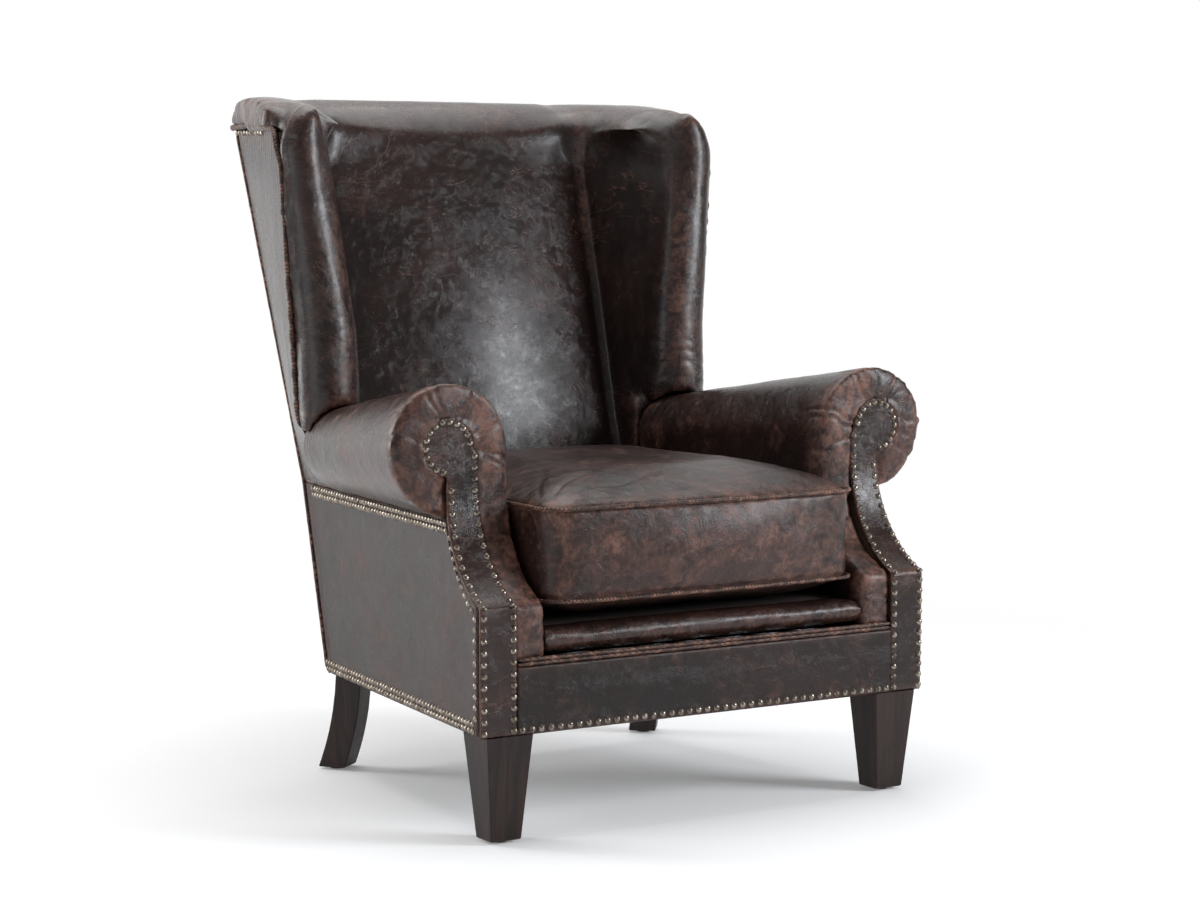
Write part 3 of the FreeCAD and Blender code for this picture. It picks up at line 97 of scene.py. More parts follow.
def rear_y(z):
    """The raked plane of the outside back."""
    return REAR_Y + (CREST_Y - REAR_Y) * (np.asarray(z, float) - BASE_Z) / (CREST_Z - BASE_Z)


def seam_y(z):
    """Line of the seam between the inside back and the wings: y 130 at z 256, 320 at z 1012."""
    return 130.0 + 190.0 * (np.asarray(z, float) - BORDER_TOP) / 756.0


def back_half(z):
    """Half width of the outside back: the base's taper below the arms, the wings' above."""
    z = np.asarray(z, float)
    upper = 301.0 + 19.0 * (z - SIDE_TOP) / (CREST_Z - SIDE_TOP)
    return np.where(z < SIDE_TOP, side_x(rear_y(z)), upper)


def wing_x(y, z):
    """Outer face of the wing, straight from its front edge to the back at each height."""
    front = np.interp(z, [SIDE_TOP, 568.0, CREST_Z], [320.8, 375.0, 403.0])
    share = (y - WING_Y) / (rear_y(z) - WING_Y)
    return front + (back_half(z) - front) * share


def smooth(t):
    """Ease from 0 to 1: three t squared less two t cubed, with t held between 0 and 1."""
    t = np.clip(t, 0.0, 1.0)
    return t * t * (3.0 - 2.0 * t)


def bump(t):
    """Bell of height 1 at 0, falling as the exponential of minus t squared."""
    return np.exp(-np.square(t))


def above(value, start, width):
    """Ease from 0 at the start to 1 a width above it."""
    return smooth((value - start) / width)


def below(value, start, width):
    """Ease from 0 at the start to 1 a width below it."""
    return smooth((start - value) / width)


def near(value, middle, width):
    """Bell of height 1 at the middle."""
    return bump((value - middle) / width)


def xyz(*axes):
    """Places stacked from their coordinates, each an array or one number."""
    return np.stack(np.broadcast_arrays(*axes), -1)


def half_of(points):
    """Half width, depth and height of points, with the two sides folded onto one."""
    return np.abs(points[:, 0]), points[:, 1], points[:, 2]


def lattice(cells, seed):
    """A number from 0 to 1 for each whole-number cell, from the fraction of a scaled sine."""
    mixed = cells @ np.array([127.1, 311.7, 74.7]) + seed * 19.19
    return np.mod(np.sin(mixed) * 43758.5453, 1.0)


def noise(points, size, seed=0.0, octaves=2):
    """Smooth noise from -1 to 1: lattice numbers blended by eased fractions, halved per octave."""
    total = np.zeros(len(points))
    height, weight = 1.0, 0.0
    for _ in range(octaves):
        scaled = points / size
        low = np.floor(scaled)
        part = smooth(scaled - low)
        value = np.zeros(len(points))
        for corner in np.ndindex(2, 2, 2):
            picked = np.array(corner, float)
            share = np.prod(np.where(picked > 0, part, 1.0 - part), axis=1)
            value += share * lattice(low + picked, seed)
        total += height * (2.0 * value - 1.0)
        weight += height
        height *= 0.5
        size = size * 0.5
        seed += 7.0
    return total / weight


def grid_noise(size, seed, *axes):
    """Noise for a grid of points, given as three arrays of places."""
    flat = xyz(*axes).reshape(-1, 3)
    return noise(flat, size, seed).reshape(axes[0].shape)


def edge_roll(distance, radius):
    """How far a turned edge drops behind its face: a quarter circle within the radius."""
    part = np.clip(distance / radius, 0.0, 1.0)
    return radius * (1.0 - np.sqrt(1.0 - np.square(1.0 - part)))


# ---------------------------------------------------------------- meshes


def grid_faces(rows, columns, wrap=False):
    """Quads of a grid, row by row; wrap joins the last column to the first."""
    across = columns if wrap else columns - 1
    r, c = np.meshgrid(np.arange(rows - 1), np.arange(across), indexing="ij")
    n = (c + 1) % columns
    quads = [r * columns + c, r * columns + n, (r + 1) * columns + n, (r + 1) * columns + c]
    return np.stack(quads, -1).reshape(-1, 4)


def write_mesh(name, points, polygons, uv=None, wear=None):
    """A mesh in metres from points in millimetres and arrays of equal-sided faces."""
    mesh = bpy.data.meshes.new(name)
    loops = np.concatenate([p.ravel() for p in polygons]).astype(np.int32)
    sides = np.concatenate([np.full(len(p), p.shape[1]) for p in polygons])
    starts = np.concatenate([[0], np.cumsum(sides)[:-1]]).astype(np.int32)
    mesh.vertices.add(len(points))
    mesh.vertices.foreach_set("co", (points * 0.001).astype(np.float32).ravel())
    mesh.loops.add(len(loops))
    mesh.loops.foreach_set("vertex_index", loops)
    mesh.polygons.add(len(starts))
    mesh.polygons.foreach_set("loop_start", starts)
    mesh.update(calc_edges=True)
    mesh.polygons.foreach_set("use_smooth", np.ones(len(starts), bool))
    if uv is not None:
        layer = mesh.uv_layers.new(name="along")
        layer.data.foreach_set("uv", uv[loops].astype(np.float32).ravel())
    set_wear(mesh, np.zeros(len(points)) if wear is None else wear)
    return mesh


def set_wear(mesh, wear):
    """Stores how rubbed the leather is at each point, from 0 to 1."""
    layer = mesh.attributes.get("wear") or mesh.attributes.new("wear", "FLOAT", "POINT")
    layer.data.foreach_set("value", np.clip(wear, 0.0, 1.0).astype(np.float32))


def added(name, data):
    """A new object of the scene that holds a mesh, a lamp or a camera."""
    obj = bpy.data.objects.new(name, data)
    bpy.context.scene.collection.objects.link(obj)
    return obj


def show(name, mesh, material, body="chair", stands_for=()):
    """Puts a mesh in the scene as a piece that rides on a body and stands for its nodes."""
    piece = added(name, mesh)
    mesh.materials.clear()
    mesh.materials.append(material)
    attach(piece, body)
    if stands_for:
        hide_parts(*stands_for)
    return piece


def facing_out(points, quads, direction):
    """The quads, turned over if their summed area points against the direction."""
    a, b, c, d = (points[quads[:, i]] for i in range(4))
    area = np.cross(c - a, d - b).sum(axis=0)
    return quads if area @ np.array(direction, float) > 0 else quads[:, ::-1]


def panel(name, shape, direction, thickness, material, node):
    """A leather panel: a grid of points seen from outside, thickened inwards by Solidify."""
    surface, wear = shape
    rows, columns = surface.shape[:2]
    points = surface.reshape(-1, 3)
    quads = facing_out(points, grid_faces(rows, columns), direction)
    mesh = write_mesh(name, points, [quads], wear=wear.ravel())
    piece = show(name, mesh, material, stands_for=[node])
    wall = piece.modifiers.new("Leather", "SOLIDIFY")
    wall.thickness = thickness * 0.001
    wall.offset = -1.0
    return piece


def stacked(rings, closed=False):
    """Points and faces of a stack of equal rings, shut at both ends or joined end to end."""
    rows, around = rings.shape[:2]
    points = rings.reshape(-1, 3)
    first = np.arange(around)
    last = first + (rows - 1) * around
    polygons = [grid_faces(rows, around, wrap=True)]
    if closed:
        polygons.append(xyz(last, np.roll(last, -1), np.roll(first, -1), first))
    else:
        polygons += [first[None, ::-1], last[None]]
    if outward_volume(points, polygons[0]) < 0:
        polygons = [p[:, ::-1] for p in polygons]
    return points, polygons


def tube(name, path, radius, material, body="chair", nodes=(), closed=False, up=(0.0, 0.0, 1.0),
         waver=0.4):
    """A cord: a circle carried along a path, its radius wavering a little, ends drawn in."""
    path = np.asarray(path, float)
    before = np.roll(path, 1, axis=0) if closed else np.vstack([path[:1], path[:-1]])
    after = np.roll(path, -1, axis=0) if closed else np.vstack([path[1:], path[-1:]])
    along = after - before
    along /= np.linalg.norm(along, axis=1)[:, None]
    side = np.cross(along, np.array(up, float))
    side /= np.linalg.norm(side, axis=1)[:, None]
    over = np.cross(side, along)
    size = radius * (1.0 + waver * 0.3 * noise(path, 9.0, 3.0, 1))
    if not closed:
        step = np.arange(len(path))
        size = size * np.minimum(1.0, 0.35 + 0.4 * np.minimum(step, step[::-1]))
    turn = np.linspace(0.0, 2.0 * math.pi, CORD_SIDES, endpoint=False)
    ring = np.cos(turn)[None, :, None] * side[:, None] + np.sin(turn)[None, :, None] * over[:, None]
    length = np.concatenate([[0], np.cumsum(np.linalg.norm(np.diff(path, axis=0), axis=1))])
    uv = np.stack(np.broadcast_arrays(length[:, None] * 0.001, (turn / 6.2832)[None]), -1)
    points, polygons = stacked(path[:, None] + size[:, None, None] * ring, closed)
    mesh = write_mesh(name, points, polygons, uv.reshape(-1, 2), np.full(len(points), CORD_WEAR))
    return show(name, mesh, material, body, nodes)


def outward_volume(points, quads):
    """Six times the volume that the quads enclose; positive when they face outwards."""
    middle = points.mean(axis=0)
    a, b, c, d = (points[quads[:, i]] - middle for i in range(4))
    return np.einsum("ij,ij->", a, np.cross(b, c)) + np.einsum("ij,ij->", a, np.cross(c, d))


def resample(points, step, closed=False):
    """Points at equal steps along a polyline."""
    points = np.asarray(points, float)
    if closed:
        points = np.vstack([points, points[:1]])
    gaps = np.linalg.norm(np.diff(points, axis=0), axis=1)
    place = np.concatenate([[0], np.cumsum(gaps)])
    wanted = np.linspace(0, place[-1], max(int(place[-1] / step), 3) + 1)
    line = np.stack([np.interp(wanted, place, points[:, i]) for i in range(3)], -1)
    return line[:-1] if closed else line


def eased(points, step, rounds):
    """A polyline resampled, then averaged with its neighbours a few rounds to round corners."""
    line = resample(points, step)
    for _ in range(rounds):
        line[1:-1] = 0.25 * line[:-2] + 0.5 * line[1:-1] + 0.25 * line[2:]
    return line


# ---------------------------------------------------------------- padded pieces


def read(items, field, width, kind=np.float32):
    """One field of a mesh's vertices, edges or normals, a row for each."""
    flat = np.empty(len(items) * width, kind)
    items.foreach_get(field, flat)
    return flat.reshape(-1, width)


def read_points(mesh):
    """Vertex places of a mesh in millimetres."""
    return read(mesh.vertices, "co", 3).astype(float) * 1000.0


def write_points(mesh, points):
    """Moves a mesh's vertices to places in millimetres."""
    mesh.vertices.foreach_set("co", (points * 0.001).astype(np.float32).ravel())
    mesh.update()


def read_normals(mesh):
    """Outward directions at a mesh's vertices."""
    return read(mesh.vertex_normals, "vector", 3).astype(float)


def read_edges(mesh):
    """Vertex pairs of a mesh's edges."""
    return read(mesh.edges, "vertices", 2, np.int32)


def relax(values, edges, rounds):
    """Each value moved half way to the mean of its neighbours, a number of rounds."""
    count = np.bincount(edges.ravel(), minlength=len(values)).astype(float)
    values = values.copy()
    for _ in range(rounds):
        for k in range(values.shape[1]):
            column = values[:, k]
            total = np.bincount(edges[:, 0], column[edges[:, 1]], len(column))
            total += np.bincount(edges[:, 1], column[edges[:, 0]], len(column))
            values[:, k] += 0.5 * (total / np.maximum(count, 1.0) - column)
    return values


def bake(obj):
    """The mesh an object shows with its modifiers, as a new mesh; the object goes."""
    graph = bpy.context.evaluated_depsgraph_get()
    mesh = bpy.data.meshes.new_from_object(obj.evaluated_get(graph))
    old = obj.data
    bpy.data.objects.remove(obj)
    bpy.data.meshes.remove(old)
    return mesh


def one_skin(nodes, voxel):
    """Merged copies of CAD solids, joined and remeshed into one closed skin of even quads."""
    joined = bpy.data.meshes.new("skin")
    gathered = bmesh.new()
    for node in nodes:
        gathered.from_mesh(frame["nodes"][node].data)
    bmesh.ops.remove_doubles(gathered, verts=gathered.verts, dist=1e-6)
    gathered.to_mesh(joined)
    gathered.free()
    obj = added("skin", joined)
    remesh = obj.modifiers.new("Remesh", "REMESH")
    remesh.mode = "VOXEL"
    remesh.voxel_size = voxel * 0.001
    return bake(obj)


def blown(mesh, pressure, held):
    """Cloth under pressure, stepped from the first frame; returns the swollen places.

    The points marked in held keep their place.
    """
    obj = added("blown", mesh.copy())
    cloth = obj.modifiers.new("Cloth", "CLOTH")
    settings = cloth.settings
    settings.quality = 3
    settings.mass = 0.4
    settings.tension_stiffness = settings.compression_stiffness = 15.0
    settings.bending_stiffness = 0.8
    settings.use_pressure = True
    settings.uniform_pressure_force = pressure
    settings.effector_weights.gravity = 0.0
    cloth.collision_settings.use_collision = False
    if held is not None:
        group = obj.vertex_groups.new(name="held")
        group.add([int(i) for i in np.nonzero(held)[0]], 1.0, "ADD")
        settings.vertex_group_mass = "held"
    cloth.point_cache.frame_start = 1
    cloth.point_cache.frame_end = CLOTH_FRAMES
    for step in range(1, CLOTH_FRAMES + 1):
        bpy.context.scene.frame_set(step)
    shaped = bake(obj)
    places = read_points(shaped)
    bpy.data.meshes.remove(shaped)
    bpy.context.scene.frame_set(1)
    return places


def padded_skin(nodes, voxel, soften, shrink, pressure, cap, held=None, ease=None, finer=True):
    """The leather over one or more CAD pads.

    The solids are remeshed, softened by neighbour averages, eased by ease(points, edges) where
    they meet in steps, drawn in by a little, swollen as cloth under pressure with each point's
    travel capped, and subdivided once if finer.
    """
    mesh = one_skin(nodes, voxel)
    edges = read_edges(mesh)
    soft = relax(read_points(mesh), edges, soften)
    if ease is not None:
        soft = ease(soft, edges)
    write_points(mesh, soft)
    soft = soft - shrink * read_normals(mesh)
    write_points(mesh, soft)
    if pressure > 0:
        travel = blown(mesh, pressure, held(soft) if held else None) - soft
        far = np.linalg.norm(travel, axis=1)
        travel *= np.minimum(1.0, cap / np.maximum(far, 1e-6))[:, None]
        travel = relax(travel, edges, 3)
        write_points(mesh, soft + travel)
    else:
        write_points(mesh, soft + (shrink + 0.4 * cap) * read_normals(mesh))
    if not finer:
        return mesh
    obj = added("finer", mesh)
    subdivision = obj.modifiers.new("Finer", "SUBSURF")
    subdivision.levels = subdivision.render_levels = 1
    return bake(obj)


def mirrored(mesh):
    """The same mesh for the chair's other side, its faces turned to point outwards again."""
    other = mesh.copy()
    other.transform(Matrix.Diagonal((-1.0, 1.0, 1.0, 1.0)))
    other.flip_normals()
    return other


def finish_pad(name, mesh, shape, wear_at, material, nodes, body="chair"):
    """Moves the pad's points along their normals by shape(points), then marks the wear.

    Wear is how far a point stands out of its averaged surroundings, plus wear_at(points).
    """
    points = read_points(mesh)
    normals = read_normals(mesh)
    points = points + shape(points)[:, None] * normals
    write_points(mesh, points)
    edges = read_edges(mesh)
    flatter = relax(points, edges, 10)
    proud = np.einsum("ij,ij->i", points - flatter, read_normals(mesh))
    wear = np.clip(proud / 1.6, 0, 1) * 0.7 + wear_at(points)
    set_wear(mesh, relax(wear[:, None], edges, 3)[:, 0])
    mesh.polygons.foreach_set("use_smooth", np.ones(len(mesh.polygons), bool))
    piece = show(name, mesh, material, body, nodes)
    return piece


# ---------------------------------------------------------------- materials


class Nodes:
    """Short hand for placing and wiring shader nodes in one tree."""

    def __init__(self, tree):
        self.tree = tree

    def put(self, value, socket):
        if isinstance(value, bpy.types.NodeSocket):
            self.tree.links.new(value, socket)
        elif value is not None:
            socket.default_value = value

    def add(self, kind, fields=None, **inputs):
        node = self.tree.nodes.new(kind)
        for field, value in (fields or {}).items():
            setattr(node, field, value)
        for key, value in inputs.items():
            self.put(value, node.inputs[key.replace("_", " ")])
        return node

    def math(self, operation, a, b=None, c=None):
        node = self.add("ShaderNodeMath", {"operation": operation})
        for value, socket in zip((a, b, c), node.inputs):
            self.put(value, socket)
        return node.outputs[0]

    def times(self, a, b):
        return self.math("MULTIPLY", a, b)

    def plus(self, a, b):
        return self.math("ADD", a, b)

    def minus(self, a, b):
        return self.math("SUBTRACT", a, b)

    def scaled(self, a, b, c):
        return self.math("MULTIPLY_ADD", a, b, c)

    def most(self, a, b):
        return self.math("MAXIMUM", a, b)

    def least(self, a, b):
        return self.math("MINIMUM", a, b)

    def size(self, a):
        return self.math("ABSOLUTE", a)

    def ramp(self, value, low, high):
        return self.add("ShaderNodeMapRange", {"interpolation_type": "SMOOTHSTEP"}, Value=value,
                        From_Min=low, From_Max=high).outputs["Result"]

    def mix(self, share, a, b):
        node = self.add("ShaderNodeMix", {"data_type": "RGBA"})
        for value, socket in zip((share, a, b), (node.inputs[0], node.inputs[6], node.inputs[7])):
            self.put(value, socket)
        return node.outputs[2]

    def noise(self, vector, scale, detail=4.0, rough=0.6, distort=0.0):
        return self.add("ShaderNodeTexNoise", Vector=vector, Scale=scale, Detail=detail,
                        Roughness=rough, Distortion=distort).outputs["Fac"]

    def place(self):
        return self.add("ShaderNodeTexCoord").outputs["Object"]

    def line(self, value, middle, width):
        """A thin line where a noise crosses a value."""
        return self.minus(1.0, self.ramp(self.size(self.minus(value, middle)), 0.0, width))

    def surface(self, colour, rough, height, strength, distance, **constants):
        """Wires the Principled shader: colour, roughness, a bump of the height, and constants."""
        shader = self.tree.nodes["Principled BSDF"]
        self.put(colour, shader.inputs["Base Color"])
        self.put(rough, shader.inputs["Roughness"])
        raised = self.add("ShaderNodeBump", Strength=strength, Distance=distance, Height=height)
        self.put(raised.outputs[0], shader.inputs["Normal"])
        for key, value in constants.items():
            shader.inputs[key.replace("_", " ")].default_value = value


def started(name):
    """A new material and the short hand for its nodes."""
    material = bpy.data.materials.new(name)
    material.use_nodes = True
    return material, Nodes(material.node_tree)


def rgba(colour, share=1.0):
    """A colour times a share, with full opacity."""
    return (share * colour[0], share * colour[1], share * colour[2], 1.0)


def leather_group():
    """Worn leather as a group: colour, roughness and height from place, wear and a few levels."""
    tree = bpy.data.node_groups.new("worn_leather", "ShaderNodeTree")
    for name, kind, default in (
        ("Dark", "NodeSocketColor", (0.02, 0.01, 0.008, 1)),
        ("Brown", "NodeSocketColor", (0.05, 0.02, 0.015, 1)),
        ("Rubbed", "NodeSocketColor", (0.25, 0.11, 0.07, 1)),
        ("Wear", "NodeSocketFloat", 0.0),
        ("Mottle", "NodeSocketFloat", 0.5),
        ("Scratches", "NodeSocketFloat", 0.5),
        ("Dull", "NodeSocketFloat", 0.36),
        ("Creases", "NodeSocketFloat", 0.5),
    ):
        socket = tree.interface.new_socket(name=name, in_out="INPUT", socket_type=kind)
        socket.default_value = default
    for name, kind in (("Color", "NodeSocketColor"), ("Roughness", "NodeSocketFloat"),
                       ("Height", "NodeSocketFloat")):
        tree.interface.new_socket(name=name, in_out="OUTPUT", socket_type=kind)
    n = Nodes(tree)
    given = tree.nodes.new("NodeGroupInput").outputs
    result = tree.nodes.new("NodeGroupOutput").inputs
    place = n.place()
    patches = n.noise(place, 4.0, 5.0, 0.62, 0.5)
    clouds = n.noise(place, 13.0, 8.0, 0.68, 0.3)
    specks = n.noise(place, 120.0, 5.0, 0.7)
    broken = n.noise(place, 38.0, 8.0, 0.72, 0.6)
    # long thin scratches: where a warped noise crosses its middle value
    swung = n.add("ShaderNodeMapping", Vector=place, Rotation=(0.3, 0.5, 0.7),
                  Scale=(2.2, 1.0, 5.0))
    vein = n.line(n.noise(swung.outputs[0], 2.6, 4.0, 0.55, 1.5), 0.5, 0.008)
    turned = n.add("ShaderNodeMapping", Vector=place, Rotation=(0.9, -0.6, 1.9),
                   Scale=(1.0, 6.0, 2.0))
    hair = n.line(n.noise(turned.outputs[0], 4.5, 3.0, 0.5, 1.0), 0.52, 0.006)
    lines = n.most(n.times(vein, n.ramp(clouds, 0.47, 0.60)),
                   n.times(hair, n.ramp(patches, 0.50, 0.62)))
    lines = n.times(lines, given["Scratches"])
    # rubbed patches: speckled, inside broken clouds, and along the worn edges
    spread = n.times(given["Mottle"], n.ramp(clouds, 0.46, 0.72))
    edge = n.times(given["Wear"], n.ramp(broken, 0.34, 0.62))
    edge = n.plus(edge, n.times(spread, n.ramp(broken, 0.42, 0.66)))
    rubbed = n.times(edge, n.plus(0.45, n.ramp(specks, 0.36, 0.66)))
    rubbed = n.least(n.most(rubbed, lines), 1.0)
    base = n.mix(n.ramp(patches, 0.34, 0.68), given["Dark"], given["Brown"])
    base = n.mix(n.times(n.ramp(broken, 0.45, 0.75), 0.5), base, given["Brown"])
    colour = n.mix(rubbed, base, given["Rubbed"])
    n.put(colour, result["Color"])
    dull = n.plus(given["Dull"], n.times(rubbed, 0.22))
    dull = n.plus(dull, n.times(n.minus(clouds, 0.5), 0.14))
    n.put(n.least(n.most(dull, 0.16), 0.9), result["Roughness"])
    # grain pebbles, soft creases and the hollow of each scratch
    warp = n.add("ShaderNodeTexNoise", Vector=place, Scale=22.0).outputs["Color"]
    warp = n.mix(0.06, place, warp)
    pebbles = n.add("ShaderNodeTexVoronoi", {"feature": "DISTANCE_TO_EDGE"}, Vector=warp,
                    Scale=520.0)
    pebbles = n.least(n.times(pebbles.outputs["Distance"], 4.0), 1.0)
    fold = n.noise(warp, 26.0, 5.0, 0.6, 0.7)
    fold = n.size(n.minus(fold, 0.5))
    fold = n.least(n.times(fold, 7.0), 1.0)
    fold = n.times(fold, given["Creases"])
    height = n.plus(n.times(pebbles, 0.10), n.times(fold, 0.55))
    height = n.plus(height, n.times(clouds, 0.45))
    height = n.minus(height, n.times(lines, 0.25))
    n.put(height, result["Height"])
    return tree


def leather(name, wear=1.0, mottle=0.5, scratches=0.5, dull=0.36, creases=0.5, painted_light_level=1.0,
            coat=0.12):
    """Leather for one kind of piece, from the shared group and its own levels."""
    look = bpy.context.scene.armchair_leather
    material, n = started(name)
    rubbed = n.add("ShaderNodeAttribute", {"attribute_name": "wear"}).outputs["Fac"]
    # Dark and brown are scaled per piece: painted shade on the pieces set below 1, painted light on
    # the outer wings, set above 1.
    group = n.add("ShaderNodeGroup", {"node_tree": bpy.data.node_groups["worn_leather"]},
                  Dark=rgba(look.dark, painted_light_level), Brown=rgba(look.brown, painted_light_level),
                  Rubbed=rgba(look.rubbed), Wear=n.times(rubbed, wear),
                  Mottle=mottle, Scratches=scratches, Dull=dull, Creases=creases).outputs
    n.surface(group["Color"], group["Roughness"], group["Height"], 1.0, 0.0011,
              Specular_IOR_Level=look.gloss, Coat_Weight=coat, Coat_Roughness=0.25)
    return material


def stitched(name, spacing, dark=(0.045, 0.022, 0.016), pale=(0.30, 0.15, 0.10)):
    """Leather cord with slanting whip stitches, which follow its own length."""
    material, n = started(name)
    along = n.add("ShaderNodeUVMap", {"uv_map": "along"}).outputs["UV"]
    parts = n.add("ShaderNodeSeparateXYZ", Vector=along).outputs
    slant = n.scaled(parts["Y"], 0.7, n.math("DIVIDE", parts["X"], spacing))
    wave = n.size(n.minus(n.math("FRACT", slant), 0.5))
    wave = n.ramp(wave, 0.05, 0.32)
    place = n.place()
    worn = n.times(n.ramp(n.noise(place, 60.0, 6.0, 0.7), 0.44, 0.62), wave)
    height = n.scaled(n.noise(place, 300.0, 3.0), 0.3, wave)
    n.surface(n.mix(worn, rgba(dark), rgba(pale)), n.scaled(worn, 0.2, 0.42),
              height, 0.9, 0.0008, Specular_IOR_Level=0.4)
    return material


def old_brass():
    """Dark rubbed nail heads: metal whose colour and gloss change from head to head."""
    material, n = started("old_brass")
    place = n.place()
    tarnish = n.ramp(n.noise(place, 160.0, 4.0, 0.6), 0.40, 0.66)
    per_head = n.ramp(n.noise(place, 45.0, 2.0, 0.5), 0.42, 0.7)
    colour = n.mix(tarnish, (0.30, 0.26, 0.22, 1), (0.07, 0.052, 0.04, 1))
    colour = n.mix(per_head, colour, (0.17, 0.14, 0.11, 1))
    n.surface(colour, n.scaled(tarnish, 0.3, 0.24), n.noise(place, 420.0, 3.0),
              0.5, 0.0004, Metallic=1.0)
    return material


def dark_wood():
    """Espresso-stained hardwood with straight grain along the leg."""
    look = bpy.context.scene.armchair_leather
    material, n = started("dark_wood")
    drawn = n.add("ShaderNodeMapping", Vector=n.place(), Scale=(1.0, 1.0, 0.05)).outputs[0]
    fine = n.noise(drawn, 260.0, 6.0, 0.65, 0.3)
    broad = n.noise(drawn, 55.0, 4.0, 0.6, 0.8)
    colour = n.mix(n.ramp(broad, 0.35, 0.68), rgba(look.wood_dark), rgba(look.wood_red))
    pores = n.times(n.ramp(fine, 0.52, 0.7), 0.55)
    n.surface(n.mix(pores, colour, (0.012, 0.007, 0.006, 1)),
              n.scaled(fine, 0.25, 0.34), fine, 0.35, 0.0004,
              Specular_IOR_Level=0.3)
    return material


def plain(name, colour, rough, grain, metallic=0.0, spread=0.35):
    """A plain finish with a fine grain in its colour, gloss and surface."""
    material, n = started(name)
    speck = n.noise(n.place(), grain, 4.0)
    n.surface(n.mix(speck, rgba(colour, 1.0 - spread), rgba(colour, 1.0 + spread)),
              n.scaled(speck, 0.2, rough - 0.1), speck, 0.5, 0.0003,
              Metallic=metallic)
    return material


def woven(name, colour):
    """Plain-woven cloth: two sets of threads, 900 to the metre, crossing over each other."""
    material, n = started(name)
    parts = n.add("ShaderNodeSeparateXYZ", Vector=n.place()).outputs
    warp, weft = (n.math("SINE", n.times(parts[axis], 900.0 * 3.1416))
                  for axis in ("X", "Y"))
    cross = n.scaled(n.times(warp, weft), 0.5, 0.5)
    n.surface(n.mix(cross, rgba(colour, 0.6), rgba(colour)), 0.9, cross, 0.6, 0.0003)
    return material


# ---------------------------------------------------------------- settings


class LeatherLook(bpy.types.PropertyGroup):
    """Colours and gloss of the leather and wood."""

    dark: FloatVectorProperty(name="Dark leather", description="Wax-dark ground colour",
                              subtype="COLOR", default=(0.011, 0.0062, 0.0056), min=0, max=1)
    brown: FloatVectorProperty(name="Brown leather", description="Colour where the wax is thinner",
                               subtype="COLOR", default=(0.030, 0.0140, 0.0118), min=0, max=1)
    rubbed: FloatVectorProperty(name="Rubbed leather", description="Red-brown of worn places",
                                subtype="COLOR", default=(0.185, 0.085, 0.06), min=0, max=1)
    wood_dark: FloatVectorProperty(name="Dark wood", description="Ground colour of the legs",
                                   subtype="COLOR", default=(0.013, 0.0085, 0.0075), min=0, max=1)
    wood_red: FloatVectorProperty(name="Red wood", description="Lighter streaks in the legs",
                                  subtype="COLOR", default=(0.034, 0.018, 0.014), min=0, max=1)
    gloss: FloatProperty(name="Gloss", description="How strongly the leather reflects",
                         default=0.32, min=0, max=1, subtype="FACTOR")


class PadShape(bpy.types.PropertyGroup):
    """Sizes of the folds and of the swelling of the pads."""

    swell: FloatProperty(name="Swell", description="Cap on how far a pad's skin may travel",
                         default=0.006, min=0, max=0.02, unit="LENGTH")
    pleat_depth: FloatProperty(name="Pleat depth",
                               description="Depth of the folds around the scroll",
                               default=0.0032, min=0, max=0.01, unit="LENGTH")
    waver: FloatProperty(name="Waver", description="Height of the broad soft unevenness",
                         default=0.0012, min=0, max=0.005, unit="LENGTH")
    welt_radius: FloatProperty(name="Welt radius", description="Radius of the leather cords",
                               default=0.003, min=0.001, max=0.006, unit="LENGTH")


class StudioLevels(bpy.types.PropertyGroup):
    """Levels of the studio lamps and floor."""

    key: FloatProperty(name="Front lamp", description="Power of the soft box at the front right",
                       default=84.0, min=0, unit="POWER")
    side: FloatProperty(name="Side lamp", description="Power of the soft box at the left",
                        default=13.0, min=0, unit="POWER")
    rear: FloatProperty(name="Rear lamp", description="Power of the strip behind on the left",
                        default=58.0, min=0, unit="POWER")
    top: FloatProperty(name="Top lamp", description="Power of the overhead soft box",
                       default=66.0, min=0, unit="POWER")
    ambient: FloatProperty(name="Ambient", description="Strength of the even light from all round",
                           default=0.25, min=0, max=1)


# ---------------------------------------------------------------- operators


def done(operator, *objects):
    """Raises an error unless every object is there, else reports success."""
    for item in objects:
        if item is None or not item.data.vertices:
            raise RuntimeError(f"{operator.bl_label}: a piece came out empty")
    return {"FINISHED"}


# folds round the arm's scroll: angle in degrees from the chair's outside, and strength
ARM_FOLDS = (
    (-50.0, 0.6), (-18.0, 0.35), (14.0, 0.8), (38.0, 0.3), (66.0, 0.75), (88.0, 0.35),
    (112.0, 0.9), (131.0, 0.3), (158.0, 0.8), (181.0, 1.0), (203.0, 0.55),
)


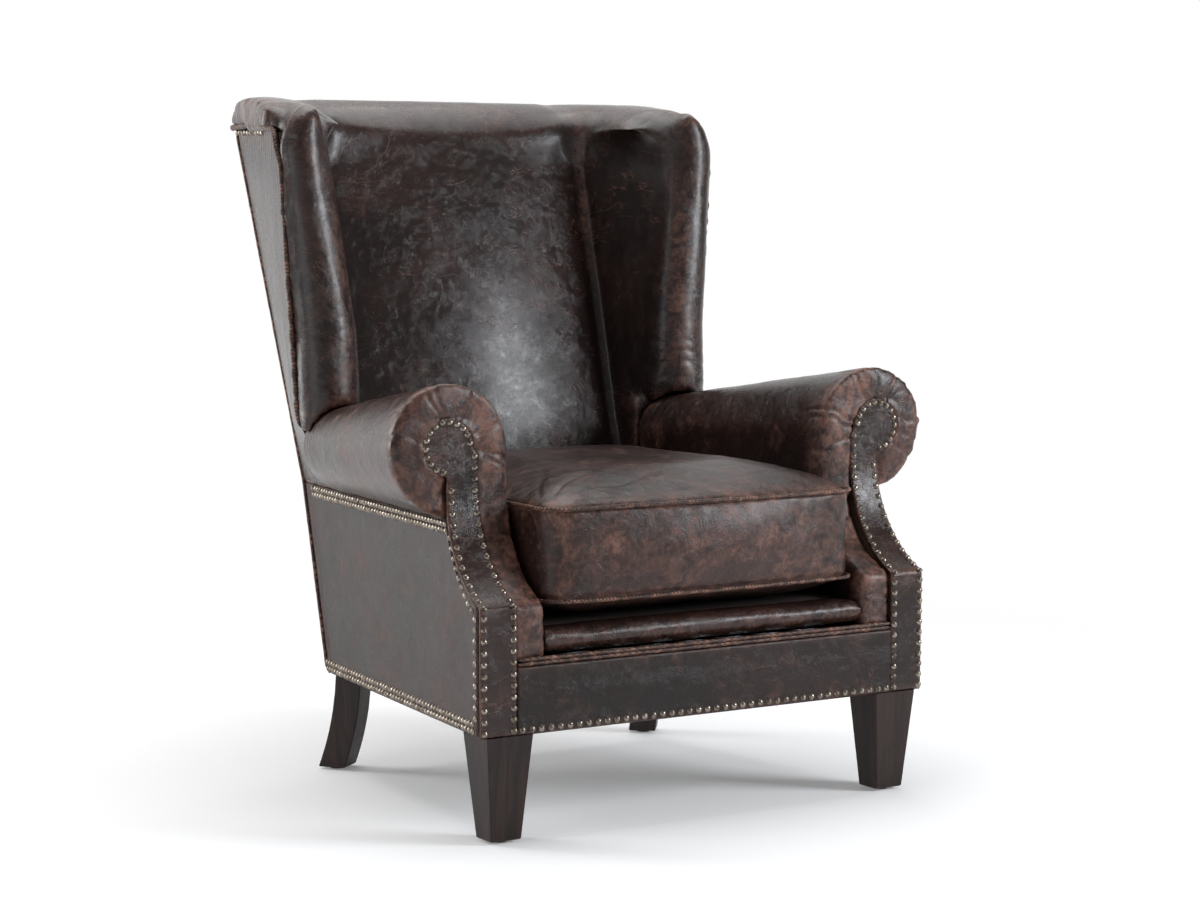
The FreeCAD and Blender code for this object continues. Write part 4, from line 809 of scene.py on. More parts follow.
def arm_folds(points, side, depth, waver):
    """Offset of the arm's leather: folds that fan from the scroll, soft waver, creases at the wing.

    A fold is a bell across its angle, deepest at the scroll and fading over 50 mm to the rear and
    60 mm outwards; between folds the leather stands a little proud.
    """
    across, y, z = half_of(points)
    behind = y - front_y(z)
    dx, dz = across - SCROLL_X, z - SCROLL_Z
    far = np.hypot(dx, dz)
    angle = np.degrees(np.arctan2(dz, dx))
    angle = np.where(angle < -75.0, angle + 360.0, angle)
    reach = bump(np.maximum(behind - 4.0, 0.0) / 46.0) * above(far, 34.0, 8.0)
    reach *= above(z, 430.0, 50.0)
    fold = np.zeros(len(points))
    bend = 10.0 * noise(points, 30.0, 19.0 + side, 1)
    for k, (at, strength) in enumerate(ARM_FOLDS):
        at = at + 7.0 * math.sin(k * 2.4 + side)
        width = 2.2 + 1.6 * abs(math.sin(k * 1.7 + side))
        off = (angle - at + bend) * np.radians(1.0) * far
        fold = np.maximum(fold, strength * bump(off / width))
    out = reach * depth * (0.25 - 0.85 * fold)
    out += waver * noise(points, 70.0, 11.0 + side) + 0.35 * waver * noise(points, 24.0, 5.0 + side)
    near_wing = near(y, 95.0, 38.0) * above(z, 500.0, 60.0)
    out += -1.1 * near_wing * bump(np.sin(y / 5.5 + 1.6 * noise(points, 40.0, 3.0)) / 0.4)
    inner, outer = facing_half(z)
    gap = np.minimum(np.abs(across - inner), np.where(z > 430.0, np.abs(across - outer), 99.0))
    out += 4.0 * bump(gap / 8.0) * below(behind, 48.0, 20.0) * (z < 600.0) * (z > 170.0)
    neck = below(z, 500.0, 40.0) * bump(behind / 34.0) * (across < 336.0)
    out += -1.0 * neck * bump(np.sin(z / 9.0 + 2.0 * noise(points, 60.0, 8.0)) / 0.35)
    return out


class ARMCHAIR_OT_arms(bpy.types.Operator):
    """Leather of the two rolled arms, swollen as cloth, with folds fanning from the scrolls"""

    bl_idname = "armchair.arms"
    bl_label = "Rolled arms"

    def execute(self, context):
        shape = context.scene.armchair_shape
        # The arm leather is set darker than the cushion's: painted shade on the arms.
        material = leather("leather_arm", wear=1.1, mottle=0.7, scratches=0.3, dull=0.28,
                           creases=0.45, painted_light_level=0.85)
        made = []
        right = padded_skin(["arm_pad_right"], 6.5, 3, 1.0, 4.0, 1000.0 * shape.swell - 1.5)
        for (side, word), mesh in zip(SIDES, (mirrored(right), right)):

            def worn(points):
                across, y, z = half_of(points)
                behind = y - front_y(z)
                rim = near(behind, 14.0, 16.0) * 0.5
                far = np.hypot(across - SCROLL_X, z - SCROLL_Z)
                patch = near(far, 66.0, 16.0) * below(across, SCROLL_X, 20.0)
                return rim + 0.75 * patch * (behind < 30) * above(z, 480.0, 40.0)

            made.append(finish_pad(
                f"arm_leather_{word}", mesh,
                lambda p: arm_folds(p, side, 1000.0 * shape.pleat_depth, 1000.0 * shape.waver),
                worn, material, [f"arm_pad_{word}"]))
        return done(self, *made)


def wing_folds(points, side, waver):
    """Offset of the wing's leather: wrinkles low on the roll, pleats at the hood, a crease."""
    across, y, z = half_of(points)
    out = waver * noise(points, 80.0, 21.0 + side) + 0.4 * waver * noise(points, 26.0, 25.0 + side)
    roll = below(y, 135.0, 30.0)
    low = near(z, 655.0, 75.0) * roll * smooth(0.5 + 1.5 * noise(points, 60.0, 28.0 + side))
    out += -0.9 * low * bump(np.sin(z / 7.5 + 2.2 * noise(points, 45.0, 4.0 + side)) / 0.38)
    hood = above(z, 1000.0, 40.0) * above(across, 330.0, 50.0)
    hood = hood * below(y, 150.0, 20.0)
    turn = np.degrees(np.arctan2(z - 979.0, across - 319.0)) + 12.0 * noise(points, 35.0, 29.0)
    out += -0.9 * hood * bump(np.sin(np.radians(turn) * 7.0 + side) / 0.28)
    ends = above(z, 1012.0, 12.0) * above(y, 168.0, 14.0)
    rib = bump(np.sin(y / 5.2 + 0.8 * noise(points, 30.0, 2.0)) / 0.42)
    out += -1.5 * ends * near(z, 1026.0, 20.0) * above(across, 285.0, 20.0) * rib
    line = across - np.interp(z, [840.0, 900.0, 1010.0], [384.0, 392.0, 402.0])
    crease = bump(line / 3.0) * above(z, 850.0, 30.0) * below(z, 1005.0, 25.0)
    out += -1.2 * crease * above(y, 95.0, 10.0)
    tuck = near(z, 592.0, 14.0) * near(y, 90.0, 40.0)
    out += -1.4 * tuck
    if side < 0:
        nick = near(z, 1002.0, 3.0) * near(across, 391.0, 8.0)
        out += -3.2 * nick * near(y, 112.0, 16.0)
    return out


def back_folds(points, waver):
    """Offset of the inside back and crest: soft waver, pulls at the crest, pleats on its ends."""
    across, y, z = half_of(points)
    out = 1.1 * waver * noise(points, 120.0, 31.0) + 0.3 * waver * noise(points, 34.0, 35.0)
    ends = above(across, 262.0, 30.0) * above(z, 1000.0, 15.0)
    rib = bump(np.sin(y / 5.2 + 0.8 * noise(points, 30.0, 2.0)) / 0.42)
    out += -1.9 * ends * near(z, 1026.0, 22.0) * rib
    pull = above(z, 930.0, 80.0) * below(y, 340.0, 60.0)
    out += 0.7 * pull * np.sin(points[:, 0] / 23.0 + 2.0 * noise(points, 90.0, 6.0))
    return out


def upper_folds(points, waver):
    """Offset of the leather of back, crest and wings, eased into each other at the seams."""
    x, y, z = points.T
    across = np.abs(x)
    wing = above(across, 248.0, 8.0)
    left, right = wing_folds(points, -1.0, waver), wing_folds(points, 1.0, waver)
    out = wing * np.where(x < 0.0, left, right) + (1.0 - wing) * back_folds(points, waver)
    seam = near(across, 252.0, 4.5) * bump((y - seam_y(z) - 4.0) / 26.0)
    out -= 5.0 * seam * above(z, 300.0, 20.0) * below(z, 1050.0, 30.0)
    shut = near(y, 134.0, 9.0) * above(across, 345.0, 15.0) * above(z, 545.0, 15.0)
    rim = near(z, 1024.0, 8.0) * above(across, 300.0, 20.0) * above(y, 160.0, 10.0)
    return out + 3.0 * shut + 2.0 * rim


class ARMCHAIR_OT_back(bpy.types.Operator):
    """Crowned inside back that runs over the crest, and the padded wings beside it"""

    bl_idname = "armchair.back"
    bl_label = "Inside back, crest and wings"

    def execute(self, context):
        shape = context.scene.armchair_shape
        # Set darker than the cushion's: painted shade on the inside back, crest and inner wings.
        material = leather("leather_back", wear=0.9, mottle=0.2, scratches=0.42, dull=0.24,
                           creases=0.16, painted_light_level=0.78, coat=0.25)
        nodes = ["inside_back", "crest_roll", "wing_pad_left", "wing_pad_right"]

        def ease(points, edges):
            across, y, z = half_of(points)
            inner = above(across, 215.0, 25.0) * below(across, 362.0, 45.0)
            share = inner * above(z, 960.0, 35.0) * above(y, 108.0, 25.0)
            share = (share * below(y, 420.0, 70.0))[:, None]
            corner = below(across, 325.0, 55.0) * below(y, 345.0, 80.0)
            joint = below(across, 270.0, 20.0) * above(z, 960.0, 25.0)
            joint = (joint * below(z, 1066.0, 14.0) * below(y, 362.0, 24.0))[:, None]
            tip = above(across, 262.0, 25.0) * above(z, 985.0, 35.0)
            tip = (tip * below(y, 190.0, 35.0))[:, None]
            for _ in range(6):
                points = points + joint * (relax(points, edges, 12) - points)
            for _ in range(2):
                points = points + tip * (relax(points, edges, 12) - points)
            for _ in range(5):
                points = points + share * (relax(points, edges, 12) - points)
            points[:, 2] -= 17.0 * corner * share[:, 0] * above(z, 1010.0, 30.0)
            return points + share * (relax(points, edges, 24) - points)

        mesh = padded_skin(nodes, 7.0, 4, 0.5, 3.0, 3.5, ease=ease)

        def worn(points):
            across, y, z = half_of(points)
            side = 0.4 * near(across, 246.0, 8.0) * above(z, 700.0, 200.0)
            inner = near(across, 318.0, 22.0) * below(y, 120.0, 20.0)
            hood = above(z, 1010.0, 30.0) * above(across, 320.0, 50.0)
            top = 0.2 * near(z, 1062.0, 8.0)
            return side + 0.45 * inner * above(z, 560.0, 80.0) + 0.4 * hood + top

        piece = finish_pad("back_leather", mesh, lambda p: upper_folds(p, 1000.0 * shape.waver),
                           worn, material, nodes)
        return done(self, piece)


def facing_half(z):
    """Inner and outer edge of the arm facing at each height: a stem that swells into a disc."""
    disc = np.sqrt(np.maximum(FACING_RADIUS**2 - (z - SCROLL_Z) ** 2, 0.0))
    inner = np.interp(z, [BASE_Z, 548.0, 580.0], [FACING_X, FACING_X, 353.0])
    outer = np.interp(z, [BASE_Z, COVE_LOW, COVE_HIGH, SCROLL_Z],
                      [FRONT_HALF, FRONT_HALF, 385.0, SCROLL_X])
    first, last = SCROLL_X - disc, SCROLL_X + disc
    in_disc = z > SCROLL_Z - FACING_RADIUS
    left = np.where(z < SCROLL_Z, np.minimum(inner, np.where(in_disc, first, inner)), first)
    right = np.where(z < SCROLL_Z, np.maximum(outer, np.where(in_disc, last, outer)), last)
    return left, right


class ARMCHAIR_OT_facings(bpy.types.Operator):
    """Leather facings of the arm fronts, lying on the cove and turned back at their edges"""

    bl_idname = "armchair.facings"
    bl_label = "Arm facings"

    def execute(self, context):
        # Set a little darker: painted shade on the facings.
        material = leather("leather_facing", wear=1.0, mottle=0.35, scratches=0.35, dull=0.22,
                           creases=0.3, painted_light_level=0.9)
        turn = np.radians(np.linspace(-40.0, 88.0, 44))
        turn = turn[turn > math.asin(-28.0 / FACING_RADIUS)]
        z = np.concatenate([np.linspace(BASE_Z, 512.0, 90)[:-1], np.linspace(512.0, 531.0, 20),
                            SCROLL_Z + FACING_RADIUS * np.sin(turn)])
        share = 0.5 - 0.5 * np.cos(np.linspace(0.0, math.pi, 23))
        left, right = facing_half(z)
        across = left[:, None] + (right - left)[:, None] * share[None]
        height = np.broadcast_to(z[:, None], across.shape)
        edge = np.minimum(across - left[:, None], right[:, None] - across)
        edge = np.minimum(edge, height - BASE_Z)
        y = front_y(height) + edge_roll(edge, 4.0)
        # Rubbed turned edges, and a lighter band along the foot of the cove, at the kink: painted
        # highlight.
        wear = 0.6 * bump(edge / 5.0) + 0.35 * near(height, COVE_LOW, 7.0)
        return done(self, *(
            panel(f"facing_leather_{word}", (xyz(side * across, y, height), wear),
                  (0, -1, 0), 20.0, material, f"arm_facing_{word}") for side, word in SIDES))


def unit_grid(columns, rows):
    """Shares from 0 to 1 across and up a grid."""
    return np.meshgrid(np.linspace(0, 1, columns), np.linspace(0, 1, rows), indexing="xy")


def side_panel(u, v, side):
    """Side panel from the cove to the rear: crowned, with a sewn seam before its rear edge."""
    z = BASE_Z + (SIDE_TOP - BASE_Z) * v
    first, last = front_y(z) + 12.4, rear_y(z) - 6.2
    y = first + (last - first) * u
    edge = np.minimum(np.minimum(y - first, last - y), np.minimum(z - BASE_Z, SIDE_TOP - z))
    uneven = 1.0 + 0.5 * grid_noise(110.0, 41.0 + side, side_x(y), y, z)
    rise = 2.6 * above(edge, 26.0, 90.0) * uneven
    rise += 0.35 * grid_noise(45.0, 44.0 + side, side_x(y), y, z) * smooth(edge / 30.0)
    seam = last - y - 17.0
    rise -= 1.6 * bump(seam / 1.8) - 0.8 * bump((seam + 5.0) / 3.0)
    x = side_x(y) + rise - edge_roll(edge, 4.0)
    return xyz(side * x, y, z), 0.5 * bump(edge / 6.0) + 0.5 * bump(seam / 3.0)


def outer_wing(u, v, side):
    """Outer wing up to the hood and the crest's gather, below which pulls fade over 75 mm.

    The top edge rises steeply behind the wing's front, then runs level; height and place
    depend on each other, so they are settled in four rounds.
    """
    foot = SIDE_TOP + 0.4
    z = foot + 560.0 * v
    for _ in range(4):
        y = WING_Y + u * (rear_y(z) - 6.2 - WING_Y)
        top = np.where(y < 165.5, 964.8 + (y - WING_Y) * 52.8 / 28.5,
                       1017.6 + (y - 165.5) * 8.5 / 312.0)
        z = foot + v * (top - foot)
    edge = np.minimum((1.0 - u), u) * (rear_y(z) - WING_Y)
    drop = top - z
    rise = 2.0 * above(edge, 6.0, 70.0) * smooth(drop / 40.0)
    pulls = np.sin(y / 4.6 + 1.8 * grid_noise(60.0, 51.0, y, z, 0.0))
    rise -= 1.0 * (bump(drop / 75.0) * smooth(drop / 6.0)) * bump(pulls / 0.5)
    rise += 0.5 * grid_noise(38.0, 55.0, y, 0.35 * z, 0.0) * smooth(edge / 25.0)
    x = wing_x(y, z) + rise - edge_roll(edge, 3.0)
    wear = 0.45 * bump(edge / 8.0) + 0.5 * near(drop, 14.0, 14.0)
    return xyz(side * x, y, z), wear


def outside_back(u, v):
    """Outside back between its welts: one crowned sheet of leather on the raked plane."""
    z = BASE_Z + (1022.0 - BASE_Z) * v
    half = back_half(z)
    x = half * (2.0 * u - 1.0)
    edge = np.minimum(half - np.abs(x), z - BASE_Z)
    rise = 3.5 * above(edge, 8.0, 140.0) + 0.8 * grid_noise(130.0, 61.0, x, z, 0.0)
    rise = rise * smooth(edge / 30.0) + 0.3 * grid_noise(40.0, 64.0, x, z, 0.0)
    y = rear_y(z) + rise - edge_roll(edge, 4.0)
    return xyz(x, y, z), 0.5 * bump(edge / 7.0)


def front_border(u, v):
    """Front border between the facings: a flat band, its long edges turned back."""
    x, z = (FACING_X - 0.2) * (2.0 * u - 1.0), BASE_Z + (BORDER_TOP - BASE_Z) * v
    edge = np.minimum(z - BASE_Z, BORDER_TOP - z)
    y = FRONT_Y - 1.2 * above(edge, 20.0, 25.0) + edge_roll(edge, 3.0)
    y -= 0.5 * grid_noise(50.0, 71.0, x, z, 0.0) * above(edge, 16.0, 12.0)
    return xyz(x, y, z), 0.4 * bump(edge / 6.0)


class ARMCHAIR_OT_panels(bpy.types.Operator):
    """Flat leather outside: side panels, outer wings, outside back and front border"""

    bl_idname = "armchair.panels"
    bl_label = "Outside panels"

    def execute(self, context):
        # The side, outside back and border leather is set darker, as painted shade; the outer
        # wings' leather is set lighter, as painted light from the bright rear.
        dull = leather("leather_side", wear=0.8, mottle=0.42, scratches=0.35, dull=0.44,
                       creases=0.3, painted_light_level=0.8, coat=0.0)
        outer = leather("leather_wing_outer", wear=0.7, mottle=0.2, scratches=0.3, dull=0.26,
                        creases=0.35, painted_light_level=1.1)
        border = leather("leather_border", wear=0.9, mottle=0.35, scratches=0.4, dull=0.36,
                         creases=0.3, painted_light_level=0.8, coat=0.0)
        u, v = unit_grid(150, 90)
        made = []
        for side, word in SIDES:
            made.append(panel(f"side_leather_{word}", side_panel(u, v, side), (side, 0, 0), 6.0,
                              dull, f"side_panel_{word}"))
            made.append(panel(f"wing_outer_leather_{word}", outer_wing(u, v, side),
                              (side, 0, 0), 4.0, outer, f"wing_outer_{word}"))
        made.append(panel("outside_back_leather", outside_back(u, v), (0, 1, 0), 5.0, dull,
                          "outside_back"))
        made.append(panel("border_leather", front_border(*unit_grid(190, 36)), (0, -1, 0), 9.0,
                          border, "front_border"))
        return done(self, *made)


class ARMCHAIR_OT_seat(bpy.types.Operator):
    """Padded front lip and the cloth deck under the cushion"""

    bl_idname = "armchair.seat"
    bl_label = "Seat lip and deck"

    def execute(self, context):
        waver = 1000.0 * context.scene.armchair_shape.waver
        glossy = leather("leather_lip", wear=0.8, mottle=0.3, scratches=0.4, dull=0.2, creases=0.5)
        lip = padded_skin(["seat_lip"], 4.5, 4, 1.5, 3.0, 3.0)

        def lip_folds(points):
            return 0.8 * waver * noise(points * [0.45, 1.0, 1.0], 26.0, 81.0)

        def still(points):
            return 0.0 * points[:, 0]

        def lip_wear(points):
            return 0.3 * bump((points[:, 1] + 452.0) / 6.0)

        deck = padded_skin(["seat_deck"], 9.0, 3, 1.0, 0.0, 1.0, finer=False)
        cloth = woven("deck_cloth", (0.045, 0.032, 0.026))
        return done(self, finish_pad("lip_leather", lip, lip_folds, lip_wear, glossy,
                                     ["seat_lip"]),
                    finish_pad("deck_leather", deck, still, still, cloth, ["seat_deck"]))


def cushion_line(grow, step):
    """Outline of the seat cushion at a welt: bowed front, tapering sides, round corners."""
    front, rear, corner, half_front = -455.0, 116.9, 40.0, 275.0

    def half(y):
        return half_front - 26.2 * (y - FRONT_Y) / 600.0

    turn = np.radians(np.linspace(0.0, 90.0, 9))
    right_front = xyz(half(front + corner) - corner + corner * np.sin(turn),
                      front + corner - corner * np.cos(turn))
    right_rear = xyz(half(rear - corner) - corner + corner * np.cos(turn),
                     rear - corner + corner * np.sin(turn))
    right = np.vstack([right_front, right_rear])
    left = right[::-1] * [-1.0, 1.0]
    loop = np.vstack([right, left])
    loop = np.column_stack([loop, np.zeros(len(loop))])
    loop = resample(loop, step, closed=True)
    bow = 10.0 * np.cos(np.clip(loop[:, 0] / half_front, -1, 1) * math.pi / 2.0)
    loop[:, 1] -= bow * smooth((-330.0 - loop[:, 1]) / 110.0)
    middle = np.array([0.0, -170.0, 0.0])
    out = loop - middle
    out[:, 2] = 0.0
    loop += grow * out / np.linalg.norm(out, axis=1)[:, None]
    return loop


def cushion_folds(points, waver):
    """Offset of the cushion: dents at the welts, folds from the front left corner, waver."""
    x, y, z = points.T
    out = 1.2 * waver * noise(points, 95.0, 91.0) + 0.5 * waver * noise(points, 30.0, 94.0)
    for level in (CUSHION_LOW, CUSHION_HIGH):
        out -= 1.5 * bump((z - level) / 5.0)
        pucker = np.sin((x + y) / 6.5 + 3.0 * noise(points, 40.0, 9.0))
        out += 0.5 * bump((z - level) / 14.0) * pucker
    top = above(z, 478.0, 14.0)
    away = np.hypot(x + 285.0, y + 465.0)
    turn = np.degrees(np.arctan2(y + 465.0, x + 285.0)) + 9.0 * noise(points, 120.0, 12.0)
    fan = bump(np.sin(turn / 5.2 + away / 160.0) / 0.36) * near(away, 120.0, 150.0)
    out -= 1.7 * top * fan
    across = bump(np.sin(y / 14.0 + 2.5 * noise(points * [0.5, 1.0, 1.0], 80.0, 14.0)) / 0.3)
    out -= 0.5 * top * across * smooth((noise(points, 150.0, 15.0) + 0.1) / 0.5)
    side = 1.0 - smooth(np.abs(z - 407.0) / 55.0 - 0.4)
    out += 0.9 * side * noise(points * [1.0, 1.0, 0.5], 38.0, 17.0)
    return out


class ARMCHAIR_OT_cushion(bpy.types.Operator):
    """Loose boxed seat cushion, swollen as cloth between its welts, with its welts"""

    bl_idname = "armchair.cushion"
    bl_label = "Seat cushion"

    def execute(self, context):
        shape = context.scene.armchair_shape
        material = leather("leather_cushion", wear=1.1, mottle=0.95, scratches=0.5, dull=0.33,
                           creases=0.6)

        def held(points):
            z = points[:, 2]
            return (np.abs(z - CUSHION_LOW) < 5.0) | (np.abs(z - CUSHION_HIGH) < 5.0)

        nodes = ["cushion_cover", "cushion_core"]
        mesh = padded_skin(nodes, 6.5, 4, 1.5, 4.0, 5.0, held)

        def worn(points):
            x, y, z = points.T
            rim = near(z, CUSHION_HIGH, 14.0) + near(z, CUSHION_LOW, 9.0)
            front = below(y, -430.0, 20.0) * near(z, 410.0, 60.0)
            return 0.35 * rim + 0.3 * front

        made = [finish_pad("cushion_leather", mesh,
                           lambda p: cushion_folds(p, 1000.0 * shape.waver), worn, material,
                           nodes, body="seat_cushion")]
        cord = stitched("cushion_welt_leather", 0.006)
        radius = 1000.0 * shape.welt_radius
        for word, level, seed, stands_for in (("low", CUSHION_LOW, 97.0, ["cushion_welts"]),
                                              ("high", CUSHION_HIGH, 98.0, [])):
            line = cushion_line(2.2, 4.0)
            line[:, 2] = level + 0.8 * noise(line, 60.0, seed)
            made.append(tube(f"cushion_welt_{word}", line, radius, cord, "seat_cushion",
                             stands_for, closed=True, waver=0.5))
        return done(self, *made)


# centre line of the wing's welt round the hood and of the gather along the crest's end
HOOD_LINE = ((402.0, 143.0, 985.0), (400.0, 152.0, 1003.0), (396.5, 163.0, 1015.0))
GATHER_LINE = ((396.0, 172.0, 1018.5), (387.0, 198.0, 1021.0), (377.0, 233.0, 1024.0),
               (368.0, 283.0, 1025.5), (354.0, 345.0, 1027.0), (334.0, 420.0, 1027.0),
               (322.0, 470.0, 1027.0))


class ARMCHAIR_OT_welts(bpy.types.Operator):
    """Leather cords along the seams: front, wings, crest gather, under the arms and outside back"""

    bl_idname = "armchair.welts"
    bl_label = "Welts"

    def execute(self, context):
        radius = 1000.0 * context.scene.armchair_shape.welt_radius
        made = []
        smooth_cord = stitched("welt_leather", 0.012)
        rough_cord = stitched("stitched_welt_leather", 0.006, (0.03, 0.015, 0.011),
                              (0.24, 0.115, 0.08))
        x = np.linspace(-333.0, 333.0, 160)
        for k, (z, nodes) in enumerate(((259.0, ["border_welt"]), (265.0, []))):
            line = xyz(x, FRONT_Y + 1.0, z)
            made.append(tube(f"front_welt_{k}", line, 2.95, smooth_cord, nodes=nodes))
        for side, word in SIDES:
            z = np.linspace(556.0, 962.0, 130)
            edge = xyz(wing_x(WING_Y + 0.5, z) + 1.5, WING_Y - 3.0, z)
            line = eased(np.vstack([edge, HOOD_LINE, GATHER_LINE]), 3.5, 6) * [side, 1.0, 1.0]
            line += 0.5 * xyz(noise(line, 14.0, 5.0), noise(line, 15.0, 6.0),
                              noise(line, 16.0, 7.0))
            made.append(tube(f"wing_welt_{word}", line, 1.4 * radius, rough_cord,
                             up=(side, 0.15, 0.0), waver=1.2))
            y = np.linspace(-338.0, 250.0, 150)
            line = xyz(side * (side_x(y) + 1.0), y, SIDE_TOP + 2.5)
            made.append(tube(f"arm_welt_{word}", line, radius, smooth_cord))
            z = np.linspace(162.0, 1018.0, 200)
            line = xyz(side * (back_half(z) + 0.5), rear_y(z) - 2.5, z)
            made.append(tube(f"back_welt_{word}", line, radius, smooth_cord, up=(0.0, 1.0, 0.0)))
        return done(self, *made)


def rounded_square(half_x, half_y, corner, turn):
    """A closed loop of points: a rectangle whose corners are quarter circles, turned about z."""
    arc = np.radians(np.linspace(0.0, 90.0, 5))
    pieces = []
    for k, (sx, sy) in enumerate(((1, 1), (-1, 1), (-1, -1), (1, -1))):
        angle = arc + k * math.pi / 2.0
        pieces.append(xyz(sx * (half_x - corner) + corner * np.cos(angle),
                          sy * (half_y - corner) + corner * np.sin(angle)))
    loop = np.vstack(pieces)
    c, s = math.cos(turn), math.sin(turn)
    return loop @ np.array([[c, s], [-s, c]])


def leg(name, node, levels, material):
    """A leg: rounded squares stacked at levels of (z, x, y, half x, half y, corner, turn)."""
    rings = []
    for z, x, y, half_x, half_y, corner, turn in levels:
        loop = rounded_square(half_x, half_y, corner, turn) + [x, y]
        rings.append(np.column_stack([loop, np.full(len(loop), z)]))
    mesh = write_mesh(name, *stacked(np.stack(rings)))
    mesh.polygons.foreach_set("use_smooth", np.zeros(len(mesh.polygons), bool))
    return show(name, mesh, material, stands_for=[node])


def front_levels(side):
    """Front leg: a straight taper down to the glide, its foot's edge eased."""
    for z in (GLIDE_Z, 5.6, 20.0, 60.0, 110.0, BASE_Z):
        taper = 13.0 * ((BASE_Z - z) / (BASE_Z - GLIDE_Z))
        ease = 1.6 if z == GLIDE_Z else 0.0
        yield (z, side * 345.0, -426.5, 38.0 - taper - ease, 35.0 - taper - ease, 2.4, 0.0)


def rear_levels(side):
    """Rear leg: an even square set askew, kicked back and out by a curve of its drop."""
    for z in (GLIDE_Z, 5.6, 18.0, 35.0, 55.0, 78.5, 100.0, 130.0, BASE_Z):
        share = (BASE_Z - z) / (BASE_Z - GLIDE_Z)
        kick = 0.148 * share + 0.852 * share**2
        half = 22.0 + share - (1.4 if z == GLIDE_Z else 0.0)
        yield (z, side * (283.0 + 13.0 * kick), 136.0 + 36.0 * kick, half, half, 2.2,
               math.radians(-38.0 * side))


class ARMCHAIR_OT_legs(bpy.types.Operator):
    """Tapered front legs and kicked rear legs in dark stained wood with eased corners"""

    bl_idname = "armchair.legs"
    bl_label = "Legs"

    def execute(self, context):
        wood = dark_wood()
        return done(self, *(
            leg(f"{end}_leg_wood_{word}", f"{end}_leg_{word}", levels(side), wood)
            for side, word in SIDES
            for end, levels in (("front", front_levels), ("rear", rear_levels))))


class ARMCHAIR_OT_hardware(bpy.types.Operator):
    """Finishes for the nails, glides, springs, frame, dust cover, zip and webbing"""

    bl_idname = "armchair.hardware"
    bl_label = "Hardware finishes"

    def execute(self, context):
        finishes = {
            "antique_brass": old_brass(),
            "steel": plain("spring_steel", (0.42, 0.42, 0.43), 0.38, 300.0, 1.0, 0.15),
            "glide_plastic": plain("glide_black", (0.02, 0.02, 0.02), 0.5, 500.0),
            # The frame timber's dark brown is partly a stain and partly painted shade, so that
            # timber seen in the gaps between pads reads as shade.
            "frame_wood": plain("frame_timber_stain_and_shade", (0.10, 0.062, 0.042), 0.6, 90.0, spread=0.2),
            "black_cloth": woven("dust_cloth", (0.02, 0.02, 0.021)),
            "filling": plain("cushion_filling", (0.62, 0.58, 0.5), 0.9, 240.0, spread=0.1),
            "zip": plain("zip_brown", (0.03, 0.021, 0.018), 0.55, 700.0),
        }
        slots = {row["node"]: row["material_slot"] for row in frame["record"]["subparts"]}
        for node, obj in frame["nodes"].items():
            finish = finishes.get(slots.get(node))
            if finish is None or obj.hide_render:
                continue
            if not obj.material_slots:
                obj.data.materials.append(finish)
            for place in obj.material_slots:
                place.material = finish
        return {"FINISHED"}


def lamp(name, place, aim, size, power, colour=(1.0, 1.0, 1.0)):
    """A soft box: an area lamp of two sizes, turned from its place to its aim."""
    light = bpy.data.lights.new(name, "AREA")
    light.shape = "RECTANGLE"
    light.size, light.size_y = size
    light.energy = power
    light.color = colour
    obj = added(name, light)
    turn = (Vector(aim) - Vector(place)).to_track_quat("-Z", "Y").to_matrix()
    obj.matrix_world = Matrix.Translation(place) @ turn.to_4x4()
    obj.visible_camera = False


def surroundings(scene, ambient):
    """White to the camera, and to reflections that look to the rear; even dim light otherwise."""
    world = bpy.data.worlds.new("studio")
    scene.world = world
    world.use_nodes = True
    n = Nodes(world.node_tree)
    sky = world.node_tree.nodes["Background"].inputs
    path = n.add("ShaderNodeLightPath").outputs
    seen = n.most(path["Is Camera Ray"], path["Is Transmission Ray"])
    way = n.add("ShaderNodeSeparateXYZ", Vector=n.add("ShaderNodeTexCoord").outputs["Generated"])
    behind = n.times(path["Is Glossy Ray"], n.ramp(way.outputs["Y"], -0.1, 0.7))
    seen = n.most(seen, behind)
    n.put(n.scaled(seen, 1.0 - ambient, ambient), sky["Strength"])
    n.put((1.0, 1.0, 1.0, 1.0), sky["Color"])


def paper_floor(reach=9.0, glow=0.17, white=(1.1, 2.2)):
    """White paper to the reach, in metres, that keeps the shadow under the chair.

    Rays from the camera and from reflections see it glow a little, and turn to plain white
    between the two distances of white.
    """
    mesh = bpy.data.meshes.new("floor")
    mesh.from_pydata([(-reach, -reach, 0), (reach, -reach, 0), (reach, reach, 0),
                      (-reach, reach, 0)], [], [(0, 1, 2, 3)])
    paper, n = started("floor_paper")
    shader = paper.node_tree.nodes["Principled BSDF"]
    shader.inputs["Base Color"].default_value = (0.92, 0.92, 0.925, 1.0)
    shader.inputs["Roughness"].default_value = 0.9
    shader.inputs["Specular IOR Level"].default_value = 0.1
    path = n.add("ShaderNodeLightPath").outputs
    seen = n.most(path["Is Camera Ray"], path["Is Glossy Ray"])
    lit = n.add("ShaderNodeAddShader")
    n.put(shader.outputs[0], lit.inputs[0])
    n.put(n.add("ShaderNodeEmission", Strength=n.times(seen, glow)).outputs[0],
          lit.inputs[1])
    away = n.add("ShaderNodeVectorMath", {"operation": "LENGTH"})
    n.put(n.place(), away.inputs[0])
    whole = n.add("ShaderNodeMixShader")
    n.put(n.times(n.ramp(away.outputs["Value"], *white), seen), whole.inputs[0])
    n.put(lit.outputs[0], whole.inputs[1])
    n.put(n.add("ShaderNodeEmission", Strength=1.0).outputs[0], whole.inputs[2])
    n.put(whole.outputs[0], paper.node_tree.nodes["Material Output"].inputs["Surface"])
    mesh.materials.append(paper)
    return added("floor", mesh)


